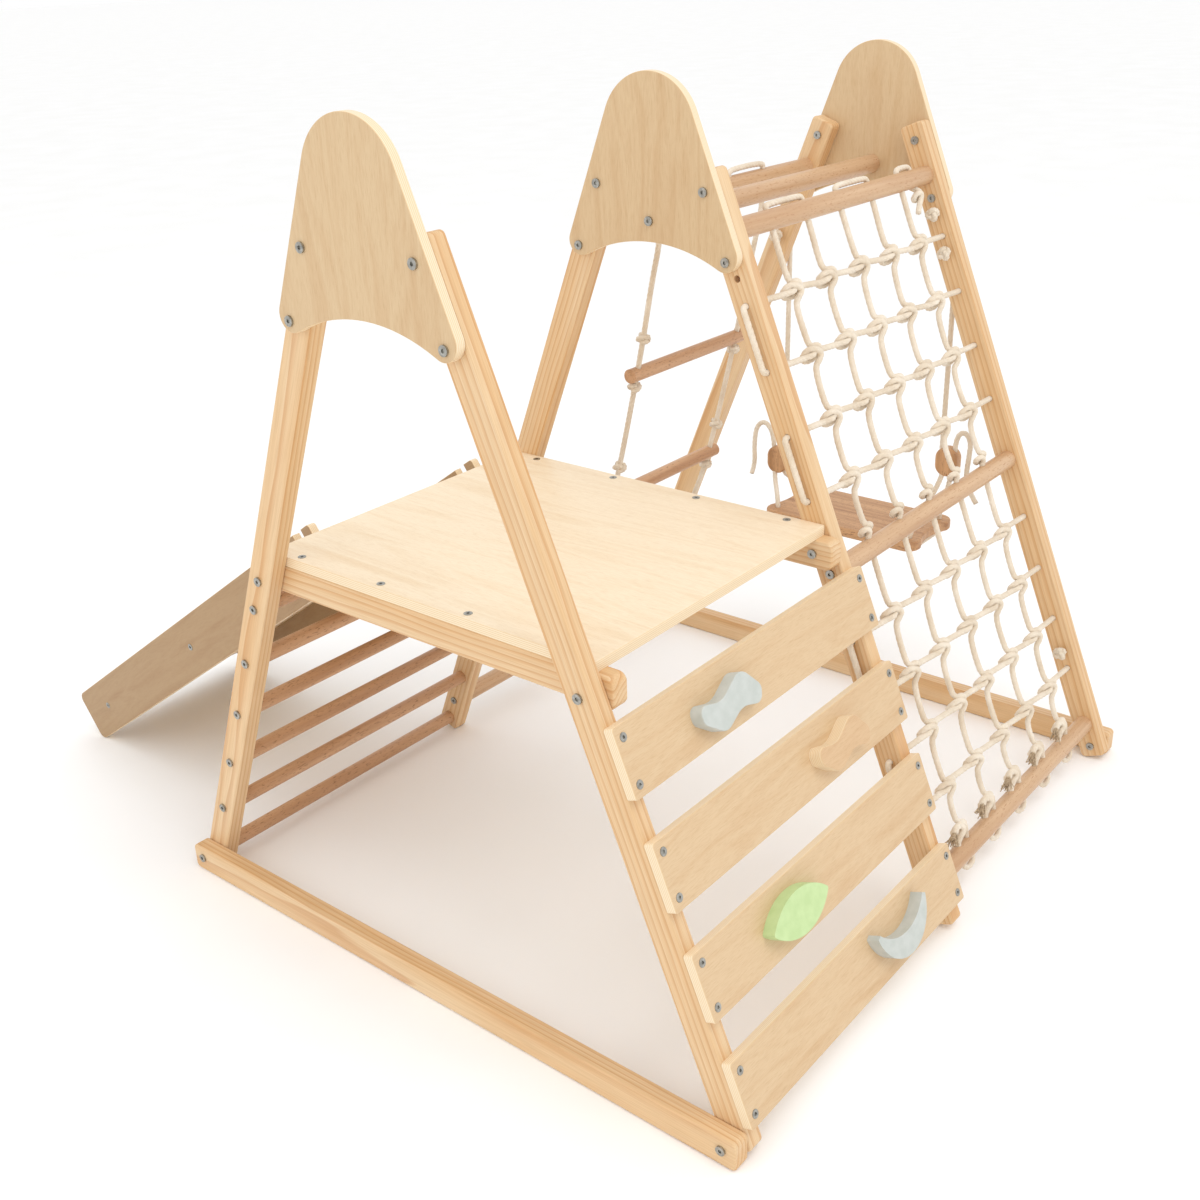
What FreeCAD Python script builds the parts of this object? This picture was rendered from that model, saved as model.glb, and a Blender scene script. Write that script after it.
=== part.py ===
"""Indoor wooden climbing frame with a slide, ladders, a climbing wall, a cargo net and a swing.

Three A-shaped frames stand in a row along X. Bay 1, between frames 1 and 2, carries the platform,
the rung ladder and the slide on its -Y side and the climbing wall on its +Y side. Bay 2, between
frames 2 and 3, carries the three hand bars, the rope ladder (-Y) and the cargo net (+Y). The swing
hangs outside frame 3. Sizes are in millimetres and Z is up; the floor is Z = 0.
"""
import FreeCAD, Part
import math
import os

V = FreeCAD.Vector

# ---------------------------------------------------------------- driving sizes
LEG_LENGTH = 1200.0
LEG_WIDTH = 45.0        # in the plane of the A; beams and floor rails are as high
STUD = 28.0             # thickness of legs, beams and floor rails
LEG_SLOPE = 22.2        # degrees from upright
LEG_TOP_HALF = 86.4     # from the middle to the centre line of a leg at its top end
END_ROUND = 8.0         # corner radius at the ends of legs and rails
EDGE_ROUND = 3.5        # radius of the long timber edges
BAY_1 = 542.0           # clear length between frames 1 and 2
BAY_2 = 596.0           # clear length between frames 2 and 3
PLY = 15.0              # plywood thickness
PLY_EDGE = 1.5          # radius of plywood edges
FIT = 0.3               # gap between a round piece and its hole

# stations along a leg, from its top end or from its foot
CAP_BOLT_FROM_TOP = (28.4, 130.8)
BAR_FROM_TOP = 90.3
LOCK_FROM_TOP = 157.8
SWING_FROM_TOP = 227.8
NET_FROM_TOP = 198.8
NET_FROM_FOOT = 180.2
LOCK_FROM_FOOT = 214.2
NET_PITCH = 99.5
NET_ROWS = 4            # above the middle dowel, and as many below it
MID_DOWEL_FROM_FOOT = 587.8
FOOT_DOWEL_FROM_FOOT = 66.4
RUNG_FROM_FOOT = 21.1
RUNG_PITCH = 110.8
RUNG_COUNT = 6
PLANK_FROM_FOOT = 82.1
PLANK_PITCH = 152.5
PLANK_COUNT = 4

# caps
CAP_RISE = 133.9        # apex above the legs' top ends
CAP_LOBE_UP = 7.5       # lobe centre above the lower bolt
ARCH_DROP = 104.6       # hollow in the lower edge, below the legs' top ends
CENTRE_BAR_DROP = 73.9

# platform, rails and wall
PLATFORM_TOP = 626.8
BOARD_PAST_LEG = 4.2    # board's edge outside the legs' centre lines
BEAM_PAST_LEG = 33.2    # beam's end outside the legs' centre lines
BEAM_END = 12.0
RAIL_PAST_LEG = 12.7    # floor rail's end outside the legs' centre lines at the floor
PLANK_HEIGHT = 95.0
PLANK_CORNER = 4.0
PLANK_SCREW = 31.3      # from the plank's middle line

# round stock and rope
DOWEL_R = 16.0
RUNG_R = 12.5
ROPE_R = 5.0
KNOT_R = 13.5
ROPE_TURN = 10.0        # bend of a rope that turns over a bar
LAST_LOOP = 45.0        # the last upright's loop over the bar
FOOT_KNOT_UP = 38.0     # knot above the foot dowel's centre line
FOOT_HALF = 16.0        # half the distance between an upright's two holes in the foot dowel
NET_SPACING = 101.5
NET_STRANDS = 5

# rope ladder
LADDER_HALF = 152.0     # half the distance between its ropes
LADDER_RUNG = 344.0
LADDER_LOOP = 106.0     # rope run along the bar
LADDER_DROP = 42.0      # straight drop below the bar
LADDER_KNOT_UP = 64.0   # upper knot above its rung; the lower one is tight under it

# slide
SLIDE_X = -130.0        # outer face of the near side panel
SLIDE_WIDTH = 375.0
SIDE_HEIGHT = 101.0
SLIDE_DOWN = 933.0      # from the hook's rung to the foot end
SLIDE_HEAD = 36.0       # from the hook's rung to the head end
SLIDE_FOOT_R = 15.0
SLIDE_HEAD_R = 6.0
HOOK_DEPTH = 18.0       # from the rung's centre to the panel's lower edge
SLIDE_BOARD = 12.0
SLIDE_SCREWS = (90.0, 482.0, 874.0)   # from the foot end

# swing
SWING_PIVOT_Z = 840.0
SEAT_LENGTH = 340.0
SEAT_WIDTH = 176.0
SEAT_THICK = 20.0
SEAT_TOP = 366.0
SEAT_CORNER = 26.0
SEAT_NOTCH = 12.0
SEAT_HOLE = (62.0, 148.0)             # from the seat's middle
SEAT_TURN = 7.0
TOGGLE_WIDTH = 44.0
TOGGLE_HEIGHT = 56.0
TOGGLE_THICK = 24.0
TOGGLE_OUT = 14.0                     # toggle's middle outside the hanging rope
TOGGLE_Z = {-1: 444.0, 1: 511.0}
SOCKET = 12.0                         # depth of a rope end in a toggle
BRIDLE_BENDS = (12.0, 14.0)           # below the toggle and above the seat
# loose tails: points outwards and upwards from the toggle's middle
TAIL = {
    -1: ((12, 14), (13, 50), (34, 76), (56, 62), (61, 20), (58, -22), (66, -44)),
    1: ((12, 14), (12, 48), (28, 64), (43, 47), (41, 12), (38, -22), (46, -50), (63, -73)),
}

# holds
HOLD_THICK = 20.0

# fasteners: head radius, head height, shank radius, length, depth of the head in the wood
BOLT_HEAD = 3.0
FASTENERS = {
    "frame_bolts": (7.0, BOLT_HEAD, 3.0, 40.0, 0.0),
    "wood_screws": (6.0, 2.5, 2.2, 40.0, 2.0),
    "slide_screws": (6.0, 2.5, 2.2, 40.0, 2.0),
}
SCREW_FIT = 0.15        # gap round a shank

# ---------------------------------------------------------------- worked-out sizes
ANGLE = math.radians(LEG_SLOPE)
SIN = math.sin(ANGLE)
COS = math.cos(ANGLE)
TAN = math.tan(ANGLE)
HALF_LEG = LEG_WIDTH / 2
FACE = (0.0, -STUD - BAY_1, -2 * STUD - BAY_1 - BAY_2)   # +X face of each frame
FOOT_Z = END_ROUND * (1 - COS) + (HALF_LEG - END_ROUND) * SIN
TOP_Z = FOOT_Z + LEG_LENGTH * COS
TOP_Y = LEG_TOP_HALF
FACE_TURN = ROPE_R + BOLT_HEAD          # a rope along a leg clears the bolt heads on it
BEAM_Z = PLATFORM_TOP - PLY - LEG_WIDTH / 2
BEAM_Y = TOP_Y + (TOP_Z - BEAM_Z) * TAN      # legs' centre lines at the beams' height
CAP_TOP = TOP_Z + CAP_RISE
ARCH_TOP = TOP_Z - ARCH_DROP
CENTRE_BAR_Z = TOP_Z - CENTRE_BAR_DROP
PLATFORM_WIDTH = 2 * (BEAM_Y + BOARD_PAST_LEG)
BEAM_LENGTH = 2 * (BEAM_Y + BEAM_PAST_LEG)
RAIL_LENGTH = 2 * (TOP_Y + TOP_Z * TAN + RAIL_PAST_LEG)
MID_X = (FACE[1] - STUD + FACE[2]) / 2
NET_X = [MID_X + NET_SPACING * ((NET_STRANDS - 1) / 2 - i) for i in range(NET_STRANDS)]
LADDER_X = {"near": MID_X + LADDER_HALF, "far": MID_X - LADDER_HALF}
SWING_X = FACE[2] - STUD - 2 * ROPE_R

nodes = {}
holes = []              # cutters that pass through every wooden piece they meet
fasteners = {name: [] for name in FASTENERS}


# ---------------------------------------------------------------- helpers
def on_leg(station, off=0.0, side=1):
    """Y and Z of a point on a leg: distance from its top end and from its centre line."""
    y = TOP_Y + station * SIN + off * COS
    z = TOP_Z - station * COS + off * SIN
    return side * y, z


def leg_point(x, station, off=0.0, side=1):
    y, z = on_leg(station, off, side)
    return V(x, y, z)


def from_foot(distance):
    return LEG_LENGTH - distance


def down_leg():
    """Direction down a leg on the +Y side."""
    return V(0, SIN, -COS)


def out_of_leg(side=1):
    """Direction square to a leg, away from the middle."""
    return V(0, side * COS, SIN)


def smooth_wire(points, radii, closed=False):
    """Straight runs through the points, joined by tangent arcs of the given radii."""
    count = len(points)
    corners = {}
    for i in range(0 if closed else 1, count if closed else count - 1):
        radius = radii[i] if isinstance(radii, (list, tuple)) else radii
        if radius <= 0:
            continue
        here = points[i]
        back = (points[i - 1] - here).normalize()
        ahead = (points[(i + 1) % count] - here).normalize()
        half = back.getAngle(ahead) / 2
        inward = (back + ahead).normalize()
        reach = radius / math.tan(half)
        middle = here + inward * (radius / math.sin(half) - radius)
        corners[i] = (here + back * reach, middle, here + ahead * reach)
    edges = []
    start = corners[0][2] if closed and 0 in corners else points[0]
    order = list(range(1, count)) + ([0] if closed else [])
    for i in order:
        end = corners[i][0] if i in corners else points[i]
        if (end - start).Length > 1e-6:
            edges.append(Part.LineSegment(start, end).toShape())
        start = end
        if i in corners:
            edges.append(Part.Arc(*corners[i]).toShape())
            start = corners[i][2]
    return Part.Wire(edges)


def plate(points, radii, thickness):
    """Flat piece: a rounded outline extruded along X towards -X."""
    return Part.Face(smooth_wire(points, radii, closed=True)).extrude(V(-thickness, 0, 0))


def soften(shape, radius):
    """Round the edges that lie in the piece's two X faces."""
    box = shape.BoundBox
    edges = []
    for edge in shape.Edges:
        flat = edge.BoundBox
        if flat.XLength < 1e-4 and min(abs(flat.XMin - box.XMin), abs(flat.XMax - box.XMax)) < 1e-4:
            edges.append(edge)
    return shape.makeFillet(radius, edges)


def rod(start, end, radius):
    way = end - start
    return Part.makeCylinder(radius, way.Length, start, way)


def tube(wire, radius):
    """Round rope or cord along a wire."""
    first = wire.Edges[0]
    start = first.valueAt(first.FirstParameter)
    way = first.tangentAt(first.FirstParameter)
    ring = Part.Wire(Part.makeCircle(radius, start, way))
    return wire.makePipeShell([ring], True, False)


def cord_radii(points, fixed=None):
    """Bend at each point: as large as its two runs allow, unless it is fixed by what it turns on."""
    radii = [0.0]
    for i in range(1, len(points) - 1):
        before = points[i] - points[i - 1]
        after = points[i + 1] - points[i]
        turn = before.getAngle(after)
        largest = 0.45 * min(before.Length, after.Length) / math.tan(turn / 2)
        radii.append((fixed or {}).get(i, largest))
    return radii + [0.0]


def knot(centre, way):
    """Round knot whose rope runs along the given direction."""
    return Part.makeSphere(KNOT_R, centre, way)


def fastener(kind, seat, way):
    """A headed screw or bolt: its seat on the wood's face, and the direction into the wood."""
    head_r, head_h, shank_r, length, sink = FASTENERS[kind]
    way = V(way).normalize()
    under = seat + way * sink
    head = Part.makeCylinder(head_r, head_h, under - way * head_h, way)
    shank = Part.makeCylinder(shank_r, length, under, way)
    across = V(1, 0, 0) if abs(way.x) < 0.5 else V(0, 1, 0)
    side = way.cross(across).normalize()
    key = 0.42 * head_r
    corners = []
    for i in range(6):
        turn = math.radians(60 * i)
        offset = (side * math.cos(turn) + way.cross(side) * math.sin(turn)) * key
        corners.append(under - way * (head_h + 1) + offset)
    corners.append(corners[0])
    socket = Part.Face(Part.makePolygon(corners)).extrude(way * (head_h * 0.7 + 1))
    fasteners[kind].append(head.fuse(shank).cut(socket).removeSplitter())
    hole = Part.makeCylinder(shank_r + SCREW_FIT, length + SCREW_FIT, under, way)
    if sink > 0:
        pocket = Part.makeCylinder(head_r + SCREW_FIT, sink + 1, under - way * (sink + 1), way)
        hole = hole.fuse(pocket)
    holes.append(hole)


def rope_hole(start, end):
    holes.append(rod(start, end, ROPE_R + FIT))


# ---------------------------------------------------------------- frames
def make_leg(frame, side):
    corners = []
    for station, off in ((0, -1), (0, 1), (LEG_LENGTH, 1), (LEG_LENGTH, -1)):
        corners.append(leg_point(FACE[frame], station, off * HALF_LEG, side))
    return soften(plate(corners, END_ROUND, STUD), EDGE_ROUND)


def cap_outline(x):
    """Outer edge of a cap: round top, sides along the legs, two lobes and a hollow between them."""
    lobe_y, lobe_z = on_leg(CAP_BOLT_FROM_TOP[1] - CAP_LOBE_UP)
    side_y0, side_z0 = on_leg(0, HALF_LEG)
    edge_at_apex = side_y0 - (CAP_TOP - side_z0) * TAN
    top_r = edge_at_apex * COS / (1 - SIN)
    drop = lobe_z - ARCH_TOP
    arch_r = (lobe_y ** 2 + drop ** 2 - HALF_LEG ** 2) / (2 * (HALF_LEG - drop))
    arch_centre = V(x, 0, ARCH_TOP - arch_r)
    top_centre = V(x, 0, CAP_TOP - top_r)
    edges = []
    meets = {}
    for side in (1, -1):
        lobe = V(x, side * lobe_y, lobe_z)
        out = out_of_leg(side)
        shoulder = top_centre + out * top_r
        hip = lobe + out * HALF_LEG
        inward = (arch_centre - lobe).normalize()
        meets[side] = lobe + inward * HALF_LEG
        lowest = lobe + (out + inward).normalize() * HALF_LEG
        edges.append(Part.LineSegment(shoulder, hip).toShape())
        edges.append(Part.Arc(hip, lowest, meets[side]).toShape())
        meets[side, "shoulder"] = shoulder
    edges.append(Part.Arc(meets[1], V(x, 0, ARCH_TOP), meets[-1]).toShape())
    edges.append(Part.Arc(meets[1, "shoulder"], V(x, 0, CAP_TOP), meets[-1, "shoulder"]).toShape())
    return Part.Wire(Part.__sortEdges__(edges))


def make_cap(x):
    """Cap whose +X face is at x."""
    return soften(Part.Face(cap_outline(x)).extrude(V(-PLY, 0, 0)), PLY_EDGE)


def make_bar(x_from, x_to, y, z, half_width, half_height, end_round, edge_round):
    """Timber along Y with rounded end corners."""
    corners = []
    for dy, dz in ((-1, -1), (1, -1), (1, 1), (-1, 1)):
        corners.append(V(x_from, y + dy * half_width, z + dz * half_height))
    return soften(plate(corners, end_round, x_from - x_to), edge_round)


def make_frames():
    for frame in range(3):
        for side, word in ((1, "wall"), (-1, "ladder")):
            nodes[f"frame{frame + 1}_leg_{word}"] = make_leg(frame, side)
    cap_face = (FACE[0] + PLY, FACE[1] + PLY, FACE[2] - STUD)
    for frame, x in enumerate(cap_face):
        nodes[f"cap_{frame + 1}"] = make_cap(x)
        seat_x = FACE[2] if frame == 2 else x
        for side in (1, -1):
            for station in CAP_BOLT_FROM_TOP:
                fastener("frame_bolts", leg_point(seat_x, station, 0, side), V(-1, 0, 0))
    fastener("frame_bolts", V(cap_face[1], 0, CENTRE_BAR_Z), V(-1, 0, 0))
    fastener("frame_bolts", V(cap_face[2] - PLY, 0, CENTRE_BAR_Z), V(1, 0, 0))
    for name, x in (("rail_1", FACE[0] + STUD), ("rail_3", FACE[2] - STUD)):
        nodes[name] = make_bar(x, x - STUD, 0, HALF_LEG, RAIL_LENGTH / 2, HALF_LEG,
                               END_ROUND, EDGE_ROUND)


# ---------------------------------------------------------------- platform and wall
def make_platform():
    beam_face = {"beam_1": FACE[0] - STUD, "beam_2": FACE[1] + STUD}
    for name, x in beam_face.items():
        nodes[name] = make_bar(x, x - STUD, 0, BEAM_Z, BEAM_LENGTH / 2, HALF_LEG,
                               BEAM_END, EDGE_ROUND)
    board = Part.makeBox(BAY_1, PLATFORM_WIDTH, PLY,
                         V(FACE[1], -PLATFORM_WIDTH / 2, PLATFORM_TOP - PLY))
    upright = [e for e in board.Edges if abs(e.tangentAt(0).z) > 0.9]
    board = board.makeFillet(PLANK_CORNER, upright)
    top = [e for e in board.Edges if e.BoundBox.ZMin > PLATFORM_TOP - 1e-3]
    nodes["platform_board"] = board.makeFillet(PLY_EDGE, top)
    for side in (1, -1):
        fastener("frame_bolts", V(FACE[0], side * BEAM_Y, BEAM_Z), V(-1, 0, 0))
        fastener("frame_bolts", V(FACE[1] + STUD, side * BEAM_Y, BEAM_Z), V(-1, 0, 0))
    for x in (beam_face["beam_1"] - STUD / 2, beam_face["beam_2"] - STUD / 2):
        for i in range(4):
            y = (i - 1.5) * PLATFORM_WIDTH * 0.27
            fastener("wood_screws", V(x, y, PLATFORM_TOP), V(0, 0, -1))


def plank_station(index):
    return from_foot(PLANK_FROM_FOOT) - (PLANK_COUNT - 1 - index) * PLANK_PITCH


def make_wall():
    """Four planks on the outer edges of the +Y legs of frames 1 and 2."""
    length = BAY_1 + 2 * STUD
    out = out_of_leg()
    for index in range(PLANK_COUNT):
        station = plank_station(index)
        corners = []
        for x, side in ((0, -1), (0, 1), (-length, 1), (-length, -1)):
            corners.append(leg_point(x, station + side * PLANK_HEIGHT / 2, HALF_LEG))
        plank = Part.Face(smooth_wire(corners, PLANK_CORNER, closed=True)).extrude(out * PLY)
        face = [e for e in plank.Edges
                if (e.CenterOfMass - corners[0]).dot(out) > PLY - 1e-3]
        nodes[f"wall_plank_{index + 1}"] = plank.makeFillet(PLY_EDGE, face)
        for x in (-STUD / 2, -length + STUD / 2):
            for side in (-1, 1):
                seat = leg_point(x, station + side * PLANK_SCREW, HALF_LEG + PLY)
                fastener("wood_screws", seat, out * -1)


def hold(index, x, drop, outline, radii):
    """Climbing hold on a plank: outline points are (along X, down the plank) from its middle."""
    station = plank_station(index) + drop
    corners = [leg_point(x + dx, station + ds, HALF_LEG + PLY) for dx, ds in outline]
    body = Part.Face(smooth_wire(corners, radii, closed=True)).extrude(out_of_leg() * HOLD_THICK)
    front = [e for e in body.Edges
             if (e.CenterOfMass - corners[0]).dot(out_of_leg()) > HOLD_THICK - 1e-3]
    return body.makeFillet(PLY_EDGE, front)


def leaf_hold(index, x, drop, half_length, half_height):
    """Pointed oval between two arcs."""
    station = plank_station(index) + drop
    tips = [leg_point(x + dx, station, HALF_LEG + PLY) for dx in (half_length, -half_length)]
    low = leg_point(x, station + half_height, HALF_LEG + PLY)
    high = leg_point(x, station - half_height, HALF_LEG + PLY)
    outline = [Part.Arc(tips[0], low, tips[1]).toShape(), Part.Arc(tips[1], high, tips[0]).toShape()]
    body = Part.Face(Part.Wire(outline)).extrude(out_of_leg() * HOLD_THICK)
    upright = [e for e in body.Edges if abs(e.tangentAt(e.FirstParameter).dot(out_of_leg())) > 0.9]
    return body.makeFillet(4.0, upright)


def moon_hold(index, x, drop, half_length, height, depth):
    """Crescent with its horns up: an outer arc, an inner arc and blunt horns."""
    station = plank_station(index) + drop
    horn = 7.0
    points = {}
    for side in (1, -1):
        points[side, "out"] = leg_point(x + side * half_length, station - height / 2, HALF_LEG + PLY)
        points[side, "in"] = leg_point(x + side * (half_length - horn), station - height / 2 - 4,
                                       HALF_LEG + PLY)
    bottom = leg_point(x, station + height / 2, HALF_LEG + PLY)
    hollow = leg_point(x, station + height / 2 - depth, HALF_LEG + PLY)
    outline = [
        Part.Arc(points[1, "out"], bottom, points[-1, "out"]).toShape(),
        Part.LineSegment(points[-1, "out"], points[-1, "in"]).toShape(),
        Part.Arc(points[-1, "in"], hollow, points[1, "in"]).toShape(),
        Part.LineSegment(points[1, "in"], points[1, "out"]).toShape(),
    ]
    return Part.Face(Part.Wire(outline)).extrude(out_of_leg() * HOLD_THICK)


def make_holds():
    wave = ((66, -20), (20, -8), (-34, -33), (-66, 4), (-56, 26), (-16, 14), (28, 32), (64, 6))
    wave_radii = [11, 40, 22, 13, 14, 40, 22, 12]
    nodes["hold_wave_grey"] = hold(0, -202, 4, wave, wave_radii)
    nodes["hold_wave_plain"] = hold(1, -404, 2, wave, wave_radii)
    nodes["hold_leaf_green"] = leaf_hold(2, -200, 1, 68, 30)
    nodes["hold_moon_grey"] = moon_hold(3, -405, 0, 70, 58, 34)


# ---------------------------------------------------------------- round stock
def cross_bar(name, x_from, x_to, y, z, radius, bolted=True):
    """Round bar between two frames, with a bolt into each end through the wood beside it."""
    nodes[name] = Part.makeCylinder(radius, x_from - x_to, V(x_to, y, z), V(1, 0, 0))
    if bolted:
        fastener("frame_bolts", V(x_from + STUD, y, z), V(-1, 0, 0))
        fastener("frame_bolts", V(x_to - STUD, y, z), V(1, 0, 0))


def make_rungs():
    for i in range(RUNG_COUNT):
        station = from_foot(RUNG_FROM_FOOT) - (RUNG_COUNT - 1 - i) * RUNG_PITCH
        y, z = on_leg(station, 0, -1)
        lowest = i == RUNG_COUNT - 1
        cross_bar(f"rung_{i + 1}", FACE[0] - STUD, FACE[1], y, z, RUNG_R, not lowest)
        if lowest:
            fastener("frame_bolts", V(FACE[0] + STUD, y, z), V(-1, 0, 0))
            fastener("frame_bolts", V(FACE[1] - STUD, y, z), V(1, 0, 0))
            fastener("frame_bolts", V(FACE[0] + STUD, -y, z), V(-1, 0, 0))
            for side in (1, -1):
                fastener("frame_bolts", V(FACE[2], side * y, z), V(-1, 0, 0))


def make_bars():
    bay_from = FACE[1] - STUD
    bay_to = FACE[2]
    for name, side in (("bar_net_side", 1), ("bar_ladder_side", -1)):
        y, z = on_leg(BAR_FROM_TOP, 0, side)
        cross_bar(name, bay_from, bay_to, y, z, DOWEL_R, bolted=False)
    cross_bar("bar_centre", FACE[1], FACE[2] - STUD, 0, CENTRE_BAR_Z, DOWEL_R, bolted=False)
    y, z = on_leg(from_foot(MID_DOWEL_FROM_FOOT))
    cross_bar("net_dowel_middle", bay_from, bay_to, y, z, DOWEL_R)
    for name, side in (("net_dowel_foot", 1), ("rope_ladder_dowel_foot", -1)):
        y, z = on_leg(from_foot(FOOT_DOWEL_FROM_FOOT), 0, side)
        cross_bar(name, bay_from, bay_to, y, z, DOWEL_R)


# ---------------------------------------------------------------- cargo net
def row_stations():
    upper = [NET_FROM_TOP + i * NET_PITCH for i in range(NET_ROWS)]
    lower = [from_foot(NET_FROM_FOOT) - (NET_ROWS - 1 - i) * NET_PITCH for i in range(NET_ROWS)]
    return upper + lower


def strand_knots(x):
    """Knots on one upright of the net: one in each row, one on the middle dowel and one at its foot."""
    on_dowel = from_foot(MID_DOWEL_FROM_FOOT) - DOWEL_R - KNOT_R - FIT
    stations = row_stations() + [on_dowel, from_foot(FOOT_DOWEL_FROM_FOOT) - FOOT_KNOT_UP]
    return [knot(leg_point(x, station), down_leg()) for station in stations]


def foot_loop(x):
    """The upright's end: from its foot knot through the foot dowel, under it and back."""
    axis = from_foot(FOOT_DOWEL_FROM_FOOT)
    start = axis - FOOT_KNOT_UP + KNOT_R / 2
    bend = axis - DOWEL_R - ROPE_TURN
    low = axis + DOWEL_R + ROPE_TURN
    half = ((ROPE_R + 1, start), (FOOT_HALF, bend), (FOOT_HALF, low))
    points = [leg_point(x + side, station) for side, station in half]
    points += [leg_point(x - side, station) for side, station in reversed(half)]
    return tube(smooth_wire(points, ROPE_TURN), ROPE_R)


def make_net():
    foot = from_foot(FOOT_DOWEL_FROM_FOOT)
    over = BAR_FROM_TOP - DOWEL_R - ROPE_TURN
    tunnels = []
    for station in row_stations():
        tunnels.append(rod(leg_point(FACE[1], station), leg_point(FACE[2], station), ROPE_R + FIT))
    last = NET_X[-1]
    looped = NET_X + [last - LAST_LOOP]
    for first in range(0, NET_STRANDS, 2):
        start_x, end_x = looped[first:first + 2]
        tied = foot - FOOT_KNOT_UP if end_x in NET_X else BAR_FROM_TOP + DOWEL_R + KNOT_R + FIT
        points = [leg_point(start_x, foot - FOOT_KNOT_UP), leg_point(start_x, over),
                  leg_point(end_x, over), leg_point(end_x, tied)]
        pieces = strand_knots(start_x) + [foot_loop(start_x)]
        if end_x in NET_X:
            pieces += strand_knots(end_x) + [foot_loop(end_x)]
        else:
            pieces.append(knot(points[-1], down_leg()))
        rope = tube(smooth_wire(points, ROPE_TURN), ROPE_R).fuse(pieces)
        name = f"net_rope_{first + 1}_{first + 2}" if end_x in NET_X else f"net_rope_{first + 1}"
        nodes[name] = rope.cut(tunnels)
    for x in looped:
        rope_hole(leg_point(x, BAR_FROM_TOP - DOWEL_R - 1), leg_point(x, BAR_FROM_TOP + DOWEL_R + 1))
    mid = from_foot(MID_DOWEL_FROM_FOOT)
    for x in NET_X:
        rope_hole(leg_point(x, mid - DOWEL_R - 1), leg_point(x, mid + DOWEL_R + 1))
        for side in (FOOT_HALF, -FOOT_HALF):
            rope_hole(leg_point(x + side, foot - DOWEL_R - 1), leg_point(x + side, foot + DOWEL_R + 1))


def make_cross_rope():
    """One rope laced to and fro through the legs of frames 2 and 3 and the knots of the uprights."""
    front = FACE[1] + FACE_TURN
    behind = FACE[2] - STUD - FACE_TURN
    knot_x = FACE[2] + FIT + KNOT_R
    rows = row_stations()
    points = [leg_point(knot_x, LOCK_FROM_TOP), leg_point(behind, LOCK_FROM_TOP)]
    x = behind
    for station in rows:
        points.append(leg_point(x, station))
        x = front if x == behind else behind
        points.append(leg_point(x, station))
    low_lock = from_foot(LOCK_FROM_FOOT)
    points.append(leg_point(x, low_lock))
    points.append(leg_point(knot_x, low_lock))
    rope = tube(smooth_wire(points, FACE_TURN), ROPE_R)
    nodes["net_cross_rope"] = rope.fuse([knot(points[0], V(1, 0, 0)), knot(points[-1], V(1, 0, 0))])
    for station in rows:
        rope_hole(leg_point(FACE[1] + 1, station), leg_point(FACE[1] - STUD - 1, station))
    for station in rows + [LOCK_FROM_TOP, low_lock]:
        rope_hole(leg_point(FACE[2] + 1, station), leg_point(FACE[2] - STUD - 1, station))
    rope_hole(leg_point(FACE[1] + 1, LOCK_FROM_TOP), leg_point(FACE[1] - STUD - 1, LOCK_FROM_TOP))


# ---------------------------------------------------------------- rope ladder
def ladder_route():
    """Y and Z of the ladder's ropes below the bar, with the rungs' places in it."""
    bar = on_leg(BAR_FROM_TOP, 0, -1)
    foot = on_leg(from_foot(FOOT_DOWEL_FROM_FOOT), 0, -1)
    span_y = foot[0] - bar[0]
    span_z = foot[1] - bar[1]
    # shares of the way down and of the way out: the ropes hang a little slack
    shares = ((0.035, 0.022), (0.13, 0.045), (0.245, 0.103), (0.36, 0.170), (0.49, 0.250),
              (0.61, 0.335), (0.74, 0.485), (0.86, 0.67), (0.935, 0.825), (1.0, 1.0))
    return [(bar[0] + span_y * out, bar[1] + span_z * down) for down, out in shares]


def between(a, b, share):
    return a + (b - a) * share


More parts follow.
